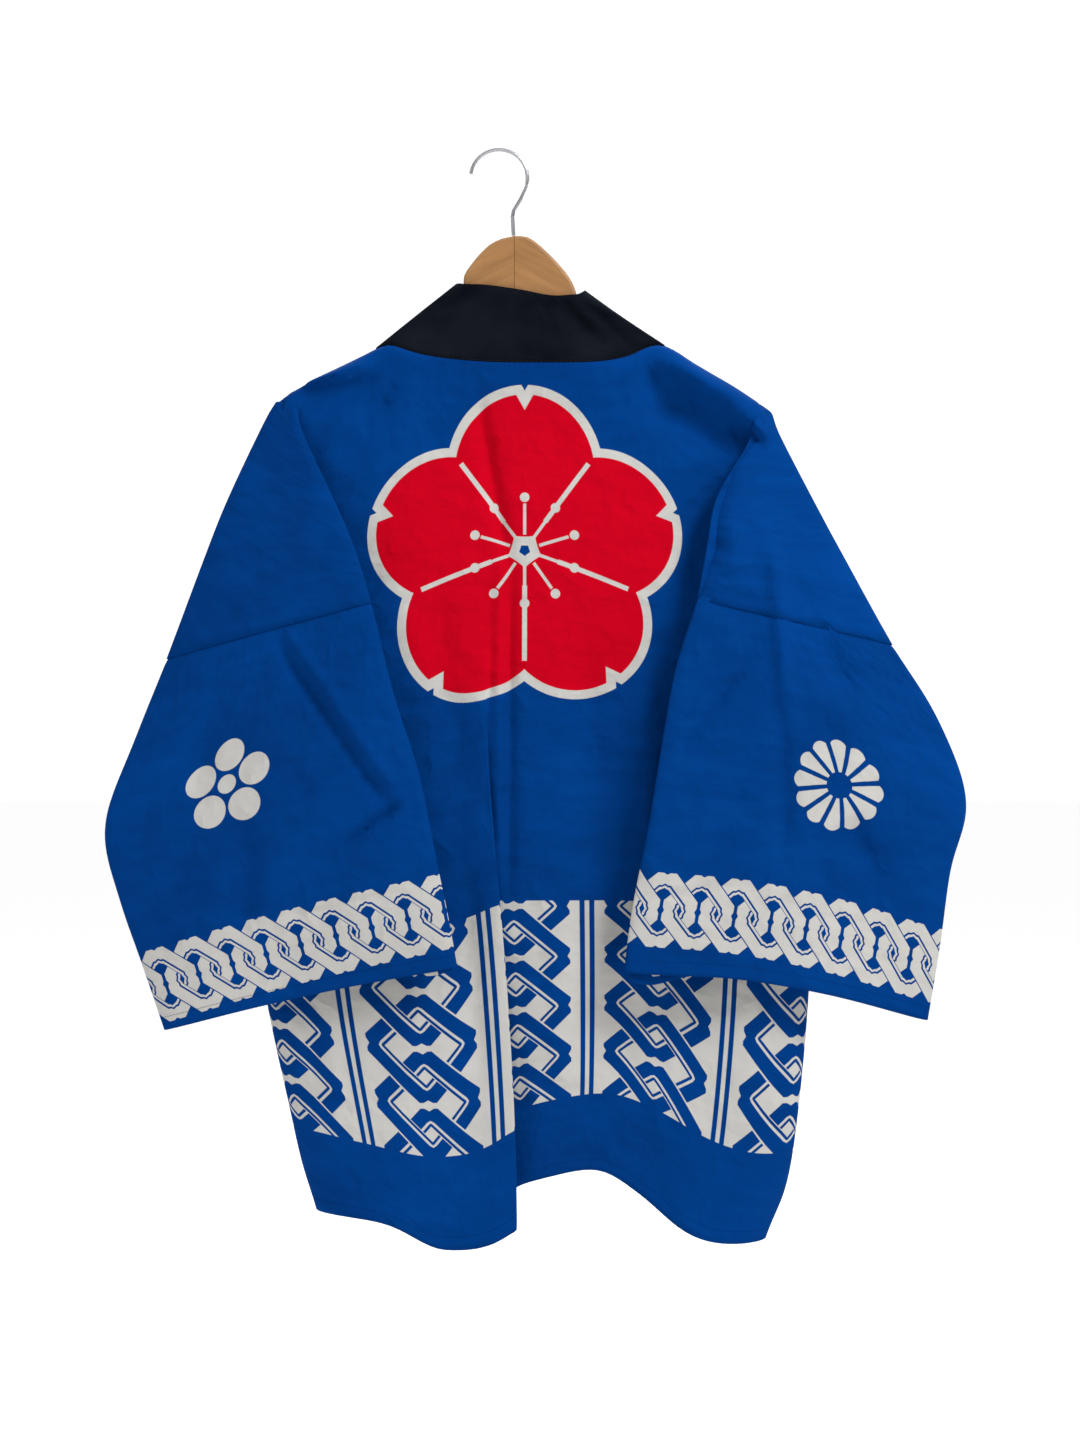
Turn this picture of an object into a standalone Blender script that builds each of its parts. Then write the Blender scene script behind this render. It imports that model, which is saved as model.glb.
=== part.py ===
"""Happi coat on a wooden hanger, back towards -Y, hung by its hook from the origin.

Sizes are in millimetres in the tables and turned into metres by MM. X runs across the coat,
-Y is the side that carries the big print (the back), Z is up. "left" is the -X side.
"""
import math

import bmesh
import bpy
import numpy as np
from mathutils import Matrix

MM = 0.001
CLOTH = 1.4          # wall of the printed cotton
BAND = 2.6           # neckband, the cloth is double
SEAM = 0.3           # clearance between pieces that are sewn together
CENTRE = 24.0        # X of the centre back
BODY_HALF = 312.0    # half of the body's cut width

# ---------------------------------------------------------------- tables
# Body rows, top to hem. side_l, side_r: outermost X of the body. inset: how far the side seam
# has turned in from there. back_l, back_r: Y of the back left and right of the pleat.
# front: Y of the fronts. seam_y: Y of the side seam. pleat: 0 flat, 1 fully folded. edge: X of
# the front edge seam, measured from the centre.
BODY = (
    # row  side_l     side_r     inset back_l back_r front seam_y pleat edge
    (0.0,  -197.2,  243.7,  0,    -2,    -2,    2,    0,     0.00, 123),
    (0.3,  -202.7,  248.3,  0,    -11,   -11,   11,   -6,    0.00, 121),
    (1.0,  -214.8,  261.3,  0,    -20,   -20,   24,   -12,   0.00, 108),
    (2.0,  -220.4,  268.8,  2,    -31,   -31,   36,   -20,   0.10, 80),
    (2.5,  -224.1,  278.1,  8,    -36,   -34,   42,   0,     0.45, 74),
    (3.0,  -226.0,  291.1,  12,   -41,   -37,   46,   6,     0.85, 73),
    (4.0,  -191.6,  274.4,  14,   -46,   -36,   48,   6,     1.00, 73),
    (5.0,  -170.2,  249.2,  14,   -50,   -34,   50,   6,     1.00, 73),
)
# Height of the printed rows and of the hem across the cut width.
ROWS_Z = (
    # across band_top   band_base    hem
    (-312,   -700.1, -901.1, -973.4),
    (-268,   -701.5, -901.9, -979.1),
    (-193,   -711.5, -915.3, -988.4),
    (-128,   -719.3, -927.3, -1012.1),
    (-84,    -711.9, -921.5, -1009.0),
    (-48,    -697.2, -902.1, -992.2),
    (-30,    -694.8, -893.8, -974.2),
    (-12,    -694.6, -887.9, -960.3),
    (37,     -694.7, -875.4, -946.9),
    (82,     -694.7, -870.8, -941.4),
    (130,    -696.5, -884.5, -961.6),
    (189,    -701.1, -914.8, -1001.0),
    (242,    -706.6, -926.7, -1010.2),
    (312,    -709.7,  -924.1,  -997.5),
)
# Top edge of the back: the neck seam between the two neck points, then the shoulder over the hanger.
TOP = (
    # x         y     z
    (-205.5,  -1,   -231.1),
    (-152.5,  -1,   -204.1),
    (-118.1,  -1,   -186.5),
    (-99.5,  -2,   -177.2),
    (-88.4,  -9,   -184.9),
    (-77.2,  -10,  -188.7),
    (-40.9,  -16,  -195.0),
    (12.1,  -18,  -198.1),
    (62.3,  -18,  -198.1),
    (108.8,  -13,  -194.7),
    (123.7,  -11,  -190.4),
    (134.8,  -9,   -185.8),
    (145.1,  -2,   -179.0),
    (186.9,  -1,   -202.3),
    (216.7,  -1,   -219.0),
    (252.0,  -1,   -242.3),
)
# Arm sections from the hanger tip to the cuff. fold: outer fold. turn: inner fold that shows over
# the back. under: underarm line, hidden behind the arm. Rows 0-4 belong to the body pieces, rows
# 4-9 to the sewn-on sleeve.
ARM_L = (
    # row fold_x      fold_y fold_z       turn_x      turn_y turn_z       under_x     under_y under_z
    (0, -206.5,    -3,    -233.0,    -186.1, -13,   -241.5,  -197.2,   -3,    -235.8),
    (1, -218.6,    -4,    -254.4,    -182.4, -22,   -261.1,  -202.7,   -6,    -257.1),
    (2, -251.4,   -7,    -324.6,   -153.5, -38,   -321.4,  -213.7, -12,   -325.0),
    (3, -273.1,  -10,   -380.5,  -132.6, -50,   -369.0,  -217.0, -16,   -380.8),
    (4, -306.9,  -14,   -472.3,  -115.5, -58,   -422.3,  -218.4, -20,   -453.0),
    (5, -335.9,  -18,   -546.3,  -96.0, -66,   -501.5,  -183.1, -44,   -530.5),
    (6, -363.6,  -24,   -630.1,  -71.3, -72,   -578.4,  -134.6, -58,   -603.3),
    (7, -349.2,  -28,   -692.5,  -55.8, -76,   -655.1,  -90.7, -64,   -670.2),
    (8, -327.7,  -30,   -753.9,  -45.8, -78,   -701.9,  -65.0, -70,   -715.1),
    (9, -307.2,  -32,   -813.5, -36.7, -78,   -751.5,  -46.8, -73,   -758.3),
)
ARM_R = (
    # row fold_x      fold_y fold_z       turn_x      turn_y turn_z       under_x     under_y under_z
    (0, 253.0,    -3,    -244.1,    234.5, -13,   -254.5,  243.7,   -3,    -246.9),
    (1, 261.3,    -4,    -266.4,    229.2, -22,   -275.8,  248.3,   -6,    -270.2),
    (2, 297.9,   -7,    -337.6,   200.5, -38,   -323.3,  260.3, -12,   -330.6),
    (3, 320.7,  -10,   -380.5,  191.5, -50,   -365.3,  265.5, -16,   -380.8),
    (4, 363.7,  -14,   -459.3,  180.9, -58,   -419.6,  267.0, -20,   -451.2),
    (5, 405.7,  -18,   -527.8,  161.4, -66,   -481.6,  239.4, -42,   -515.9),
    (6, 431.6,  -24,   -606.1,  147.6, -70,   -556.8,  203.9, -54,   -587.0),
    (7, 416.2,  -28,   -664.9,  134.9, -72,   -633.6,  169.0, -60,   -654.1),
    (8, 406.8,  -30,   -730.9,  122.2, -72,   -696.0,  141.5, -64,   -711.9),
    (9, 394.5,  -32,   -804.3, 114.1, -72,   -756.6,  123.3, -67,   -767.9),
)

# Free edge of the neckband behind the neck, from the left neck point (-1) to the right one (1).
FREE = (
    # place x          y    z
    (-1,    -40.5, -1, -124.2),
    (-0.9,  -36.0, -9,  -124.6),
    (-0.5,  -11.9, -9,  -125.6),
    (0,     20.5, -9,  -130.2),
    (0.5,   53.0, -9,  -135.7),
    (0.9,   75.2, -9,  -133.9),
    (1,     79.5, -1, -130.7),
)
# How the band stands off its seam on the fronts, towards the middle.
STAND = (
    # row  across y  up
    (0.0,  61,    0, 52),
    (0.3,  60,    3, 44),
    (1.0,  62,    1, 18),
    (2.0,  64,    1, 2),
    (5.0,  64,    1, 0),
)
NECK_COLUMN = 172    # column of the back's top edge that meets the neck point
# Hanger outline of one arm, from the middle joint out to the tip and back along the underside.
ARM_TOP_L = (
    # x          z
    (14.1, -78.9),
    (2.3, -81.4),
    (-8.4,   -86.8),
    (-17.9, -95.7),
    (-27.0,   -106.9),
    (-32.4, -115.8),
    (-33.0, -124.2),
    (-33.5,   -134.4),
    (-40.0,   -144.6),
    (-60.5,   -161.4),
    (-79.1,   -177.2),
    (-90.2,   -184.6),
    (-103.2,   -187.4),
    (-152.5,   -210.6),
    (-175.8,   -223.7),
    (-181.4,   -230.2),
    (-179.5,   -244.1),
    (-143.2,   -236.7),
    (-92.1,   -212.5),
    (-36.3,   -182.7),
    (14.1, -166.0),
)
ARM_TOP_R = (
    # x          z
    (14.5, -78.8),
    (26.0,   -79.7),
    (34.4,   -84.6),
    (43.7,   -92.8),
    (53.3, -102.4),
    (62.3,   -112.8),
    (68.4, -122.3),
    (71.6,   -130.7),
    (73.9, -139.0),
    (89.3,   -153.9),
    (114.4,   -175.3),
    (134.8,   -188.3),
    (149.7,   -192.0),
    (186.9,   -210.6),
    (216.7,   -227.4),
    (224.1,   -233.0),
    (227.9,   -241.3),
    (225.1,   -253.4),
    (186.9,   -240.4),
    (131.1,   -214.4),
    (75.3,   -184.6),
    (14.5, -166.0),
)
WOOD_THICK = 12.0
WOOD_ROUND = 3.0
WIRE_R = 1.9
CROOK_R = 26.5
CROOK_X = 0.0
CROOK_Z = -24.6
STEM = (
    # x    z, from the crook down to the wood
    (25.6, -32.0),
    (19.9, -44.6),
    (13.6, -55.0),
    (12.5, -60.5),
    (13.5, -78.2),
)
FIELD_BODY = {"side_l": 1, "side_r": 2, "inset": 3, "back_l": 4, "back_r": 5, "front": 6,
              "seam_y": 7, "pleat": 8, "edge": 9}
FIELD_ARM = {"fold": 1, "turn": 4, "under": 7}
ARM_TO_BODY = ((0, 0.0), (1, 0.3), (2, 1.0), (3, 1.43), (4, 2.0))
ARM_ROWS = (0, 0.35, 0.7, 1, 1.5, 2, 2.5, 3, 3.5, 4)
SLEEVE_ROWS = (4, 4.5, 5, 5.5, 6, 6.5, 7, 7.5, 8, 8.5, 9)
LOW_ROWS = (2.25, 2.5, 2.75, 3, 3.35, 3.7, 4, 4.33, 4.67, 5)
# Columns across the back, closer together round the pleat and at the sides.
COLUMNS = (-312, -297, -280, -262, -240, -210, -172, -136, -104, -78, -60, -52, -48, -44, -38,
           -33, -30, -27, -20, -12, 2, 22, 48, 78, 110, 142, 176, 210, 240, 262, 280, 297, 312)


# ---------------------------------------------------------------- curves
def curve(pairs, at):
    """Smooth curve through a table of (where, value...) rows, read at one place."""
    keys = np.array([pair[0] for pair in pairs], float)
    values = np.array([pair[1:] for pair in pairs], float)
    if keys[0] > keys[-1]:
        keys = keys[::-1]
        values = values[::-1]
    at = min(max(at, keys[0]), keys[-1])
    i = int(min(max(np.searchsorted(keys, at) - 1, 0), len(keys) - 2))
    slopes = (values[1:] - values[:-1]) / (keys[1:] - keys[:-1])[:, None]
    before = slopes[max(i - 1, 0)]
    after = slopes[min(i + 1, len(slopes) - 1)]
    here = slopes[i]
    start = np.where(before * here > 0, 0.5 * (before + here), 0.0)
    end = np.where(here * after > 0, 0.5 * (here + after), 0.0)
    if i == 0:
        start = here
    if i == len(slopes) - 1:
        end = here
    start = np.clip(start, -3 * abs(here), 3 * abs(here))
    end = np.clip(end, -3 * abs(here), 3 * abs(here))
    width = keys[i + 1] - keys[i]
    t = (at - keys[i]) / width
    out = (values[i] * (1 + 2 * t) * (1 - t) ** 2 + values[i + 1] * t * t * (3 - 2 * t)
           + start * width * t * (1 - t) ** 2 - end * width * t * t * (1 - t))
    return out if len(out) > 1 else float(out[0])


def through(points, steps, closed=False):
    """Points of a soft line that passes through the given ones, steps of them between each pair."""
    points = [np.array(p, float) for p in points]
    count = len(points)
    out = []
    for i in range(count if closed else count - 1):
        b = points[i]
        c = points[(i + 1) % count]
        a = points[i - 1] if (i > 0 or closed) else b + (b - c)
        d = points[(i + 2) % count] if (i + 2 < count or closed) else c + (c - b)
        knots = [0.0]
        for p, q in ((a, b), (b, c), (c, d)):
            knots.append(knots[-1] + max(np.linalg.norm(q - p), 1e-6) ** 0.5)
        for k in range(steps[i]):
            t = knots[1] + (knots[2] - knots[1]) * k / steps[i]
            ab = a + (b - a) * (t - knots[0]) / (knots[1] - knots[0])
            bc = b + (c - b) * (t - knots[1]) / (knots[2] - knots[1])
            cd = c + (d - c) * (t - knots[2]) / (knots[3] - knots[2])
            abc = ab + (bc - ab) * (t - knots[0]) / (knots[2] - knots[0])
            bcd = bc + (cd - bc) * (t - knots[1]) / (knots[3] - knots[1])
            out.append(abc + (bcd - abc) * (t - knots[1]) / (knots[2] - knots[1]))
    if not closed:
        out.append(points[-1])
    return out


def ease(value, low, high):
    t = min(max((value - low) / (high - low), 0.0), 1.0)
    return t * t * (3 - 2 * t)


def body(name, row):
    field = FIELD_BODY[name]
    return curve([(line[0], line[field]) for line in BODY], row)


def arm_point(arm, name, row):
    field = FIELD_ARM[name]
    return curve([(line[0],) + tuple(line[field:field + 3]) for line in arm], row)


def body_row(arm_row):
    return curve(ARM_TO_BODY, arm_row)


def arm_row_of(row):
    return curve([(b, a) for a, b in ARM_TO_BODY], row)


# ---------------------------------------------------------------- the back
def side_end(row, sign):
    """Where the back panel ends: the hidden fold above the armpit, the side seam below it."""
    arm = ARM_L if sign < 0 else ARM_R
    if row <= 2.0:
        return arm_point(arm, "under", arm_row_of(row))
    x = body("side_l", row) + body("inset", row)
    if sign > 0:
        x = body("side_r", row) - body("inset", row)
    low = row_height(sign * BODY_HALF, row)
    start = arm_point(arm, "under", 4)
    blend = ease(row, 2.0, 2.5)
    x = start[0] * (1 - blend) + x * blend - sign * 2.0 * ease(row, 2.0, 2.1)
    return np.array((x, body("seam_y", row), low))


def row_height(across, row):
    """Height of a row at a place across the cut width."""
    share = (across / BODY_HALF) ** 2
    arm = ARM_L if across < 0 else ARM_R
    centre = curve(((0.3, -207.3), (1.0, -279.7), (2.0, -411.1)), row)
    printed = curve([(line[0],) + tuple(line[1:]) for line in ROWS_Z], across)
    if row >= 3.0:
        return curve(((3, printed[0]), (4, printed[1]), (5, printed[2])), row)
    side = arm_point(arm, "under", arm_row_of(min(row, 2.0)))[2]
    upper = centre + (side - centre) * share
    if row <= 2.0:
        return upper
    return upper + (printed[0] - upper) * (row - 2.0)


def back_point(across, row):
    """Middle of the back's wall, at a place across the cut width on a row."""
    left = side_end(row, -1)
    right = side_end(row, 1)
    turned = ease(row, 2.0, 2.8)
    edge_l = (left[0] - body("inset", row) * turned) if row > 2 else left[0]
    edge_r = (right[0] + body("inset", row) * turned) if row > 2 else right[0]
    turn_l = edge_l + 16 * (1 - turned)
    turn_r = edge_r - 16 * (1 - turned)
    bend_l = edge_l + 36
    bend_r = edge_r - 36
    yl = body("back_l", row)
    yr = body("back_r", row)
    fold = body("pleat", row)
    fold_x = CENTRE + curve(((0, -45), (2, -30), (3, -19), (4, -9), (5, -7)), row)
    flat_l = (CENTRE - bend_l) / 232.0
    flat_r = (bend_r - CENTRE) / 232.0

    def both(flat, folded):
        return flat + (folded - flat) * fold
    out = both(CENTRE - 12 * flat_l, fold_x - 5)
    line = (
        (-312, left[0], left[1]),
        (-272, turn_l, left[1] * 0.45 + yl * 0.55),
        (-232, bend_l, yl),
        (-56, both(CENTRE - 56 * flat_l, fold_x - 7), yl - 6 * fold),
        (-48, both(CENTRE - 48 * flat_l, fold_x), both(yl, yl - 5.5)),
        (-40, both(CENTRE - 40 * flat_l, fold_x - 7), both(yl, yl - 3)),
        (-35, both(CENTRE - 35 * flat_l, fold_x - 14), both(yl, yl - 1)),
        (-30, both(CENTRE - 30 * flat_l, fold_x - 18), both((yl + yr) / 2, yl + 2)),
        (-25, both(CENTRE - 25 * flat_l, fold_x - 14), both((yl + yr) / 2, (yl + yr) / 2 + 2)),
        (-12, out, yr),
        (20, out + 32 * (bend_r - out) / 244.0, yr),
        (232, bend_r, yr),
        (272, turn_r, right[1] * 0.45 + yr * 0.55),
        (312, right[0], right[1]),
    )
    x = curve([(c[0], c[1]) for c in line], across)
    y = curve([(c[0], c[2]) for c in line], across)
    if row >= 1.0:
        z = row_height(across, row)
        if abs(across) >= BODY_HALF:
            z = (left if across < 0 else right)[2]
        wave = 2.6 * math.sin(across * 0.031 + row * 1.1) * ease(row, 1.6, 3.0)
        wave *= 1 - ease(abs(across), 215, 300)
        if abs(across + 30) < 40:
            wave *= 0.0
        return np.array((x, y + wave, z))
    top = curve([(line[0],) + tuple(line[1:]) for line in TOP], x)
    over = curve(((0, top[0]), (0.3, -11 + 0.6 * (top[0] + 1)), (1.0, y)), row)
    deep = row_height(across, 1.0)
    z = curve(((0, top[1]), (0.3, top[1] - 9 - 3 * (top[0] + 1) / 17), (1.0, deep)), row)
    if abs(across) >= BODY_HALF:
        return left if across < 0 else right
    return np.array((x, over, z))


# ---------------------------------------------------------------- the arms
def arm_line(arm, row):
    """The places that shape one section of an arm, by name."""
    fold = arm_point(arm, "fold", row)
    turn = arm_point(arm, "turn", row)
    under = arm_point(arm, "under", row)
    sign = 1 if fold[0] > CENTRE else -1
    size = min(1.0, 0.45 + 0.3 * row)
    out = np.array((sign * 7.0 * size, 0, 0))
    lean = (fold - turn) / np.linalg.norm(fold - turn)
    soft = lean * 8.0 * size
    belly = np.array((0, -1.0, 0)) * curve(((0, 1), (2, 5), (4, 9), (6, 13), (9, 9)), row)
    hollow = curve(((0, 1), (3, 3), (4, 4), (6, 9), (9, 9)), row)
    belly[2] = curve(((0, 0), (6, 0), (8, 3), (9, 10)), row) * (1.0 if sign > 0 else 0.35)
    away = np.array((0, 1.0, 0))
    thick = curve(((0, 2), (2, 4), (4, 5), (9, 5)), row)
    return {
        "under": under,
        "inner": (under + turn) / 2 + away * 1.5,
        "turn_in": turn + soft + away * thick,
        "turn": turn,
        "turn_out": turn + soft - away * thick * 0.9,
        "face_a": turn + (fold - turn) * 0.34 + belly,
        "face_b": turn + (fold - turn) * 0.68 + belly * 0.9,
        "fold_out": fold - lean * 7 * size - away * thick * 0.8,
        "fold": fold,
        "fold_in": fold - lean * 7 * size + away * thick * 0.8,
        "rear": (fold + under) / 2 + away * hollow + np.array((0, 0, belly[2] * 1.3)),
        "out": out,
    }


def arm_back(arm, row):
    """Back of the arm, from the hidden fold round the turned edge out to the top fold."""
    p = arm_line(arm, row)
    edge = p["fold"] - np.array((0, CLOTH / 2 + SEAM, 0))
    names = ("under", "inner", "turn_in", "turn", "turn_out", "face_a", "face_b", "fold_out")
    return through([p[n] for n in names] + [edge], (2, 2, 2, 2, 2, 3, 2, 1))


def arm_front(arm, row):
    """Front of the arm, from the armhole line out to the top fold."""
    p = arm_line(arm, row)
    edge = p["fold"] + np.array((0, CLOTH / 2 + SEAM, 0))
    start = front_side(arm, row)
    middle = (start + edge) / 2 + np.array((0, 2.0, 0))
    return through([start, middle, p["fold_in"], edge], (2, 2, 1))


def front_side(arm, row):
    under = arm_point(arm, "under", row)
    y = curve(((0, 1), (1, 8), (2, 10), (3, 0), (4, under[1] + 2 * CLOTH)), row)
    return np.array((under[0], y, under[2]))


def sleeve_ring(arm, row):
    """One closed section of the sewn-on sleeve."""
    p = arm_line(arm, row)
    names = ("under", "inner", "turn_in", "turn", "turn_out", "face_a", "face_b", "fold_out",
             "fold", "fold_in", "rear")
    sign = 1 if p["fold"][0] > CENTRE else -1
    line = [p[n] for n in names]
    line[0] = line[0] + np.array((sign * 5.0, -3.5, 0))
    return through(line, (2, 2, 2, 2, 2, 3, 2, 1, 1, 2, 3), closed=True)


# ---------------------------------------------------------------- the fronts
def front_point(share, row, sign):
    """Middle of a front's wall. share runs from the side seam (0) to the front edge (1)."""
    arm = ARM_L if sign < 0 else ARM_R
    if row <= 2.0:
        side = front_side(arm, arm_row_of(row))
    else:
        side = side_end(row, sign) + np.array((0, 4 * SEAM + CLOTH * (1 - ease(row, 2, 2.6)), 0))
    x_edge = CENTRE + sign * body("edge", row)
    x = side[0] + (x_edge - side[0]) * share
    front = body("front", row)
    turned = ease(row, 2.0, 2.8)
    bow = 1 - (1 - share) ** (2.0 + 1.2 * turned)
    bulge = sign * 9.0 * turned * math.sin(math.pi * min(share / 0.25, 1.0))
    y = side[1] + (front - side[1]) * bow
    y += 5.0 * turned * math.sin(share * 2 * math.pi * 1.5) * (1 - share ** 4)
    if row < 1.0:
        top = curve([(line[0],) + tuple(line[1:]) for line in TOP], x)
        low = -296.2 + (side_end(1.0, sign)[2] - -296.2) * (1 - share) ** 2
        z = curve(((0, top[1]), (0.3, top[1] - 9), (1.0, low)), row)
        y = curve(((0, 1.0), (0.3, 10.5), (1.0, 24 - 14 * (1 - share) ** 2)), row)
        if share <= 0:
            z = side[2]
            y = side[1]
        return np.array((x, y, z))
    deep = curve(((1, -296.2), (2, -426.4), (3, -664.0), (4, -868.0), (5, -951.0)), row)
    z = deep + (side[2] - deep) * (1 - share) ** 2
    return np.array((x + bulge * 0.5, y, z))


# ---------------------------------------------------------------- the neckband
def band_back(across):
    """Seam edge and free edge of the neckband above a column of the back."""
    seam = back_point(across, 0) + np.array((0, 0, BAND / 2))
    return seam, curve(FREE, across / NECK_COLUMN)


def band_front(row, sign):
    """Seam edge and free edge of the neckband beside a row of a front."""
    stand = curve(STAND, row)
    if sign > 0:
        stand += np.array((6.0, 0, -2.0)) * (1 - ease(row, 0, 0.7))
    stand[0] *= -sign
    off = stand / np.linalg.norm(stand) * (BAND / 2 + SEAM + 1.2 * (1 - ease(row, 0, 0.5)))
    return front_point(1.0, row, sign) + off, front_point(1.0, row, sign) + stand


# ---------------------------------------------------------------- making solids
def collection(name):
    group = bpy.data.collections.new(name)
    bpy.context.scene.collection.children.link(group)
    return group


def material(name, colour, rough, metal=0.0):
    mat = bpy.data.materials.new(name)
    mat.use_nodes = True
    shader = mat.node_tree.nodes["Principled BSDF"]
    shader.inputs["Base Color"].default_value = (*colour, 1)
    shader.inputs["Roughness"].default_value = rough
    shader.inputs["Metallic"].default_value = metal
    mat.diffuse_color = (*colour, 1)
    return mat


def wall(name, group, points, faces, thick, mat):
    """A panel of cloth: an open surface given its thickness, half to each side."""
    mesh = bpy.data.meshes.new(name)
    mesh.from_pydata([tuple(p * MM) for p in points], [], faces)
    mesh.update()
    obj = bpy.data.objects.new(name, mesh)
    group.objects.link(obj)
    work = bmesh.new()
    work.from_mesh(mesh)
    bmesh.ops.recalc_face_normals(work, faces=work.faces)
    work.to_mesh(mesh)
    work.free()
    solid = obj.modifiers.new("cloth", "SOLIDIFY")
    solid.thickness = thick * MM
    solid.offset = 0.0
    solid.use_rim = True
    mesh.materials.append(mat)
    for poly in mesh.polygons:
        poly.use_smooth = True
    return obj


class Panel:
    """Collects rows of points and joins neighbouring rows into a surface."""

    def __init__(self):
        self.points = []
        self.faces = []

    def line(self, points):
        first = len(self.points)
        self.points.extend(points)
        return list(range(first, first + len(points)))

    def join(self, upper, lower, closed=False):
        count = len(upper)
        for i in range(count if closed else count - 1):
            j = (i + 1) % count
            self.faces.append((upper[i], upper[j], lower[j], lower[i]))


def make_back(group, mat):
    panel = Panel()
    before = None
    rows = [(body_row(a), a) for a in ARM_ROWS] + [(r, None) for r in LOW_ROWS]
    for row, arm_row in rows:
        middle = panel.line([back_point(c, row) for c in COLUMNS])
        arms = None
        if arm_row is not None:
            left = panel.line(arm_back(ARM_L, arm_row)[1:])
            right = panel.line(arm_back(ARM_R, arm_row)[1:])
            arms = (list(reversed(left)) + [middle[0]], [middle[-1]] + right)
        if before:
            panel.join(before[0], middle)
            if arms:
                panel.join(before[1][0], arms[0])
                panel.join(before[1][1], arms[1])
        before = (middle, arms)
    return wall("back", group, panel.points, panel.faces, CLOTH, mat)


def make_front(name, group, mat, sign):
    arm = ARM_L if sign < 0 else ARM_R
    panel = Panel()
    shares = (0, 0.05, 0.11, 0.18, 0.27, 0.37, 0.48, 0.59, 0.7, 0.8, 0.9, 1.0)
    before = None
    rows = [(body_row(a), a) for a in ARM_ROWS] + [(r, None) for r in LOW_ROWS]
    for row, arm_row in rows:
        middle = panel.line([front_point(s, row, sign) for s in shares])
        outer = None
        if arm_row is not None:
            outer = [middle[0]] + panel.line(arm_front(arm, arm_row)[1:])
        if before:
            panel.join(before[0], middle)
            if outer:
                panel.join(before[1], outer)
        before = (middle, outer)
    return wall(name, group, panel.points, panel.faces, CLOTH, mat)


def make_sleeve(name, group, mat, arm):
    panel = Panel()
    before = None
    for row in SLEEVE_ROWS:
        ring = sleeve_ring(arm, row)
        if row == SLEEVE_ROWS[0]:
            following = sleeve_ring(arm, row + 0.1)
            ring = [p + (q - p) / np.linalg.norm(q - p) * 3 * SEAM for p, q in zip(ring, following)]
        ids = panel.line(ring)
        if before:
            panel.join(before, ids, closed=True)
        before = ids
    return wall(name, group, panel.points, panel.faces, CLOTH, mat)


def make_band(group, mat):
    panel = Panel()
    rows = [body_row(a) for a in ARM_ROWS] + list(LOW_ROWS)
    pairs = [(band_front(r, -1), 1.5) for r in reversed(rows)]
    pairs += [(band_back(c), -2.0) for c in COLUMNS if abs(c) <= NECK_COLUMN]
    pairs += [(band_front(r, 1), 1.5) for r in rows]
    before = None
    for (seam, free), bow in pairs:
        soft = np.array((0, bow, 0))
        line = [seam, seam + (free - seam) / 3 + soft * 0.8, seam + (free - seam) * 2 / 3 + soft, free]
        ids = panel.line(line)
        if before:
            panel.join(before, ids)
        before = ids
    return wall("neckband", group, panel.points, panel.faces, BAND, mat)


def make_wood(name, group, mat, outline, inwards):
    """One arm of the hanger: edges rounded all the way round, but cut square at the middle joint."""
    joint = outline[0][0]
    outline = [tuple(p) for p in through(outline, [2] * (len(outline) - 1))]
    outline = [(joint + 9 * inwards, outline[0][1])] + outline + [(joint + 9 * inwards, outline[-1][1])]
    line = bpy.data.curves.new(name, "CURVE")
    line.dimensions = "2D"
    line.fill_mode = "BOTH"
    line.extrude = (WOOD_THICK / 2 - WOOD_ROUND) * MM
    line.bevel_depth = WOOD_ROUND * MM
    line.bevel_resolution = 2
    line.offset = -WOOD_ROUND * MM
    path = line.splines.new("POLY")
    path.points.add(len(outline) - 1)
    for point, (x, z) in zip(path.points, outline):
        point.co = (x * MM, z * MM, 0, 1)
    path.use_cyclic_u = True
    blank = bpy.data.objects.new(name + "_blank", line)
    group.objects.link(blank)
    mesh = bpy.data.meshes.new_from_object(blank)
    mesh.name = name
    bpy.data.objects.remove(blank, do_unlink=True)
    work = bmesh.new()
    work.from_mesh(mesh)
    upright = Matrix.Rotation(math.radians(90), 3, "X")
    bmesh.ops.rotate(work, verts=work.verts, cent=(0, 0, 0), matrix=upright)
    bmesh.ops.remove_doubles(work, verts=work.verts, dist=1e-6)
    everything = work.verts[:] + work.edges[:] + work.faces[:]
    bmesh.ops.bisect_plane(work, geom=everything, plane_co=(joint * MM, 0, 0),
                           plane_no=(inwards, 0, 0), clear_outer=True)
    bmesh.ops.holes_fill(work, edges=[edge for edge in work.edges if edge.is_boundary])
    bmesh.ops.triangulate(work, faces=[face for face in work.faces if len(face.verts) > 4])
    bmesh.ops.recalc_face_normals(work, faces=work.faces)
    work.to_mesh(mesh)
    work.free()
    mesh.materials.clear()
    mesh.materials.append(mat)
    obj = bpy.data.objects.new(name, mesh)
    group.objects.link(obj)
    return obj


def make_hook(group, mat):
    line = bpy.data.curves.new("hook", "CURVE")
    line.dimensions = "3D"
    line.bevel_depth = WIRE_R * MM
    line.bevel_resolution = 3
    line.use_fill_caps = True
    points = []
    for k in range(19):
        turn = math.radians(172 - 188 * k / 18)
        points.append((CROOK_X + CROOK_R * math.cos(turn), CROOK_Z + CROOK_R * math.sin(turn)))
    points += list(STEM)
    path = line.splines.new("POLY")
    path.points.add(len(points) - 1)
    for point, (x, z) in zip(path.points, points):
        point.co = (x * MM, 0, z * MM, 1)
    obj = bpy.data.objects.new("hook", line)
    group.objects.link(obj)
    line.materials.append(mat)
    return obj


for old in list(bpy.data.objects):
    bpy.data.objects.remove(old, do_unlink=True)

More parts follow.
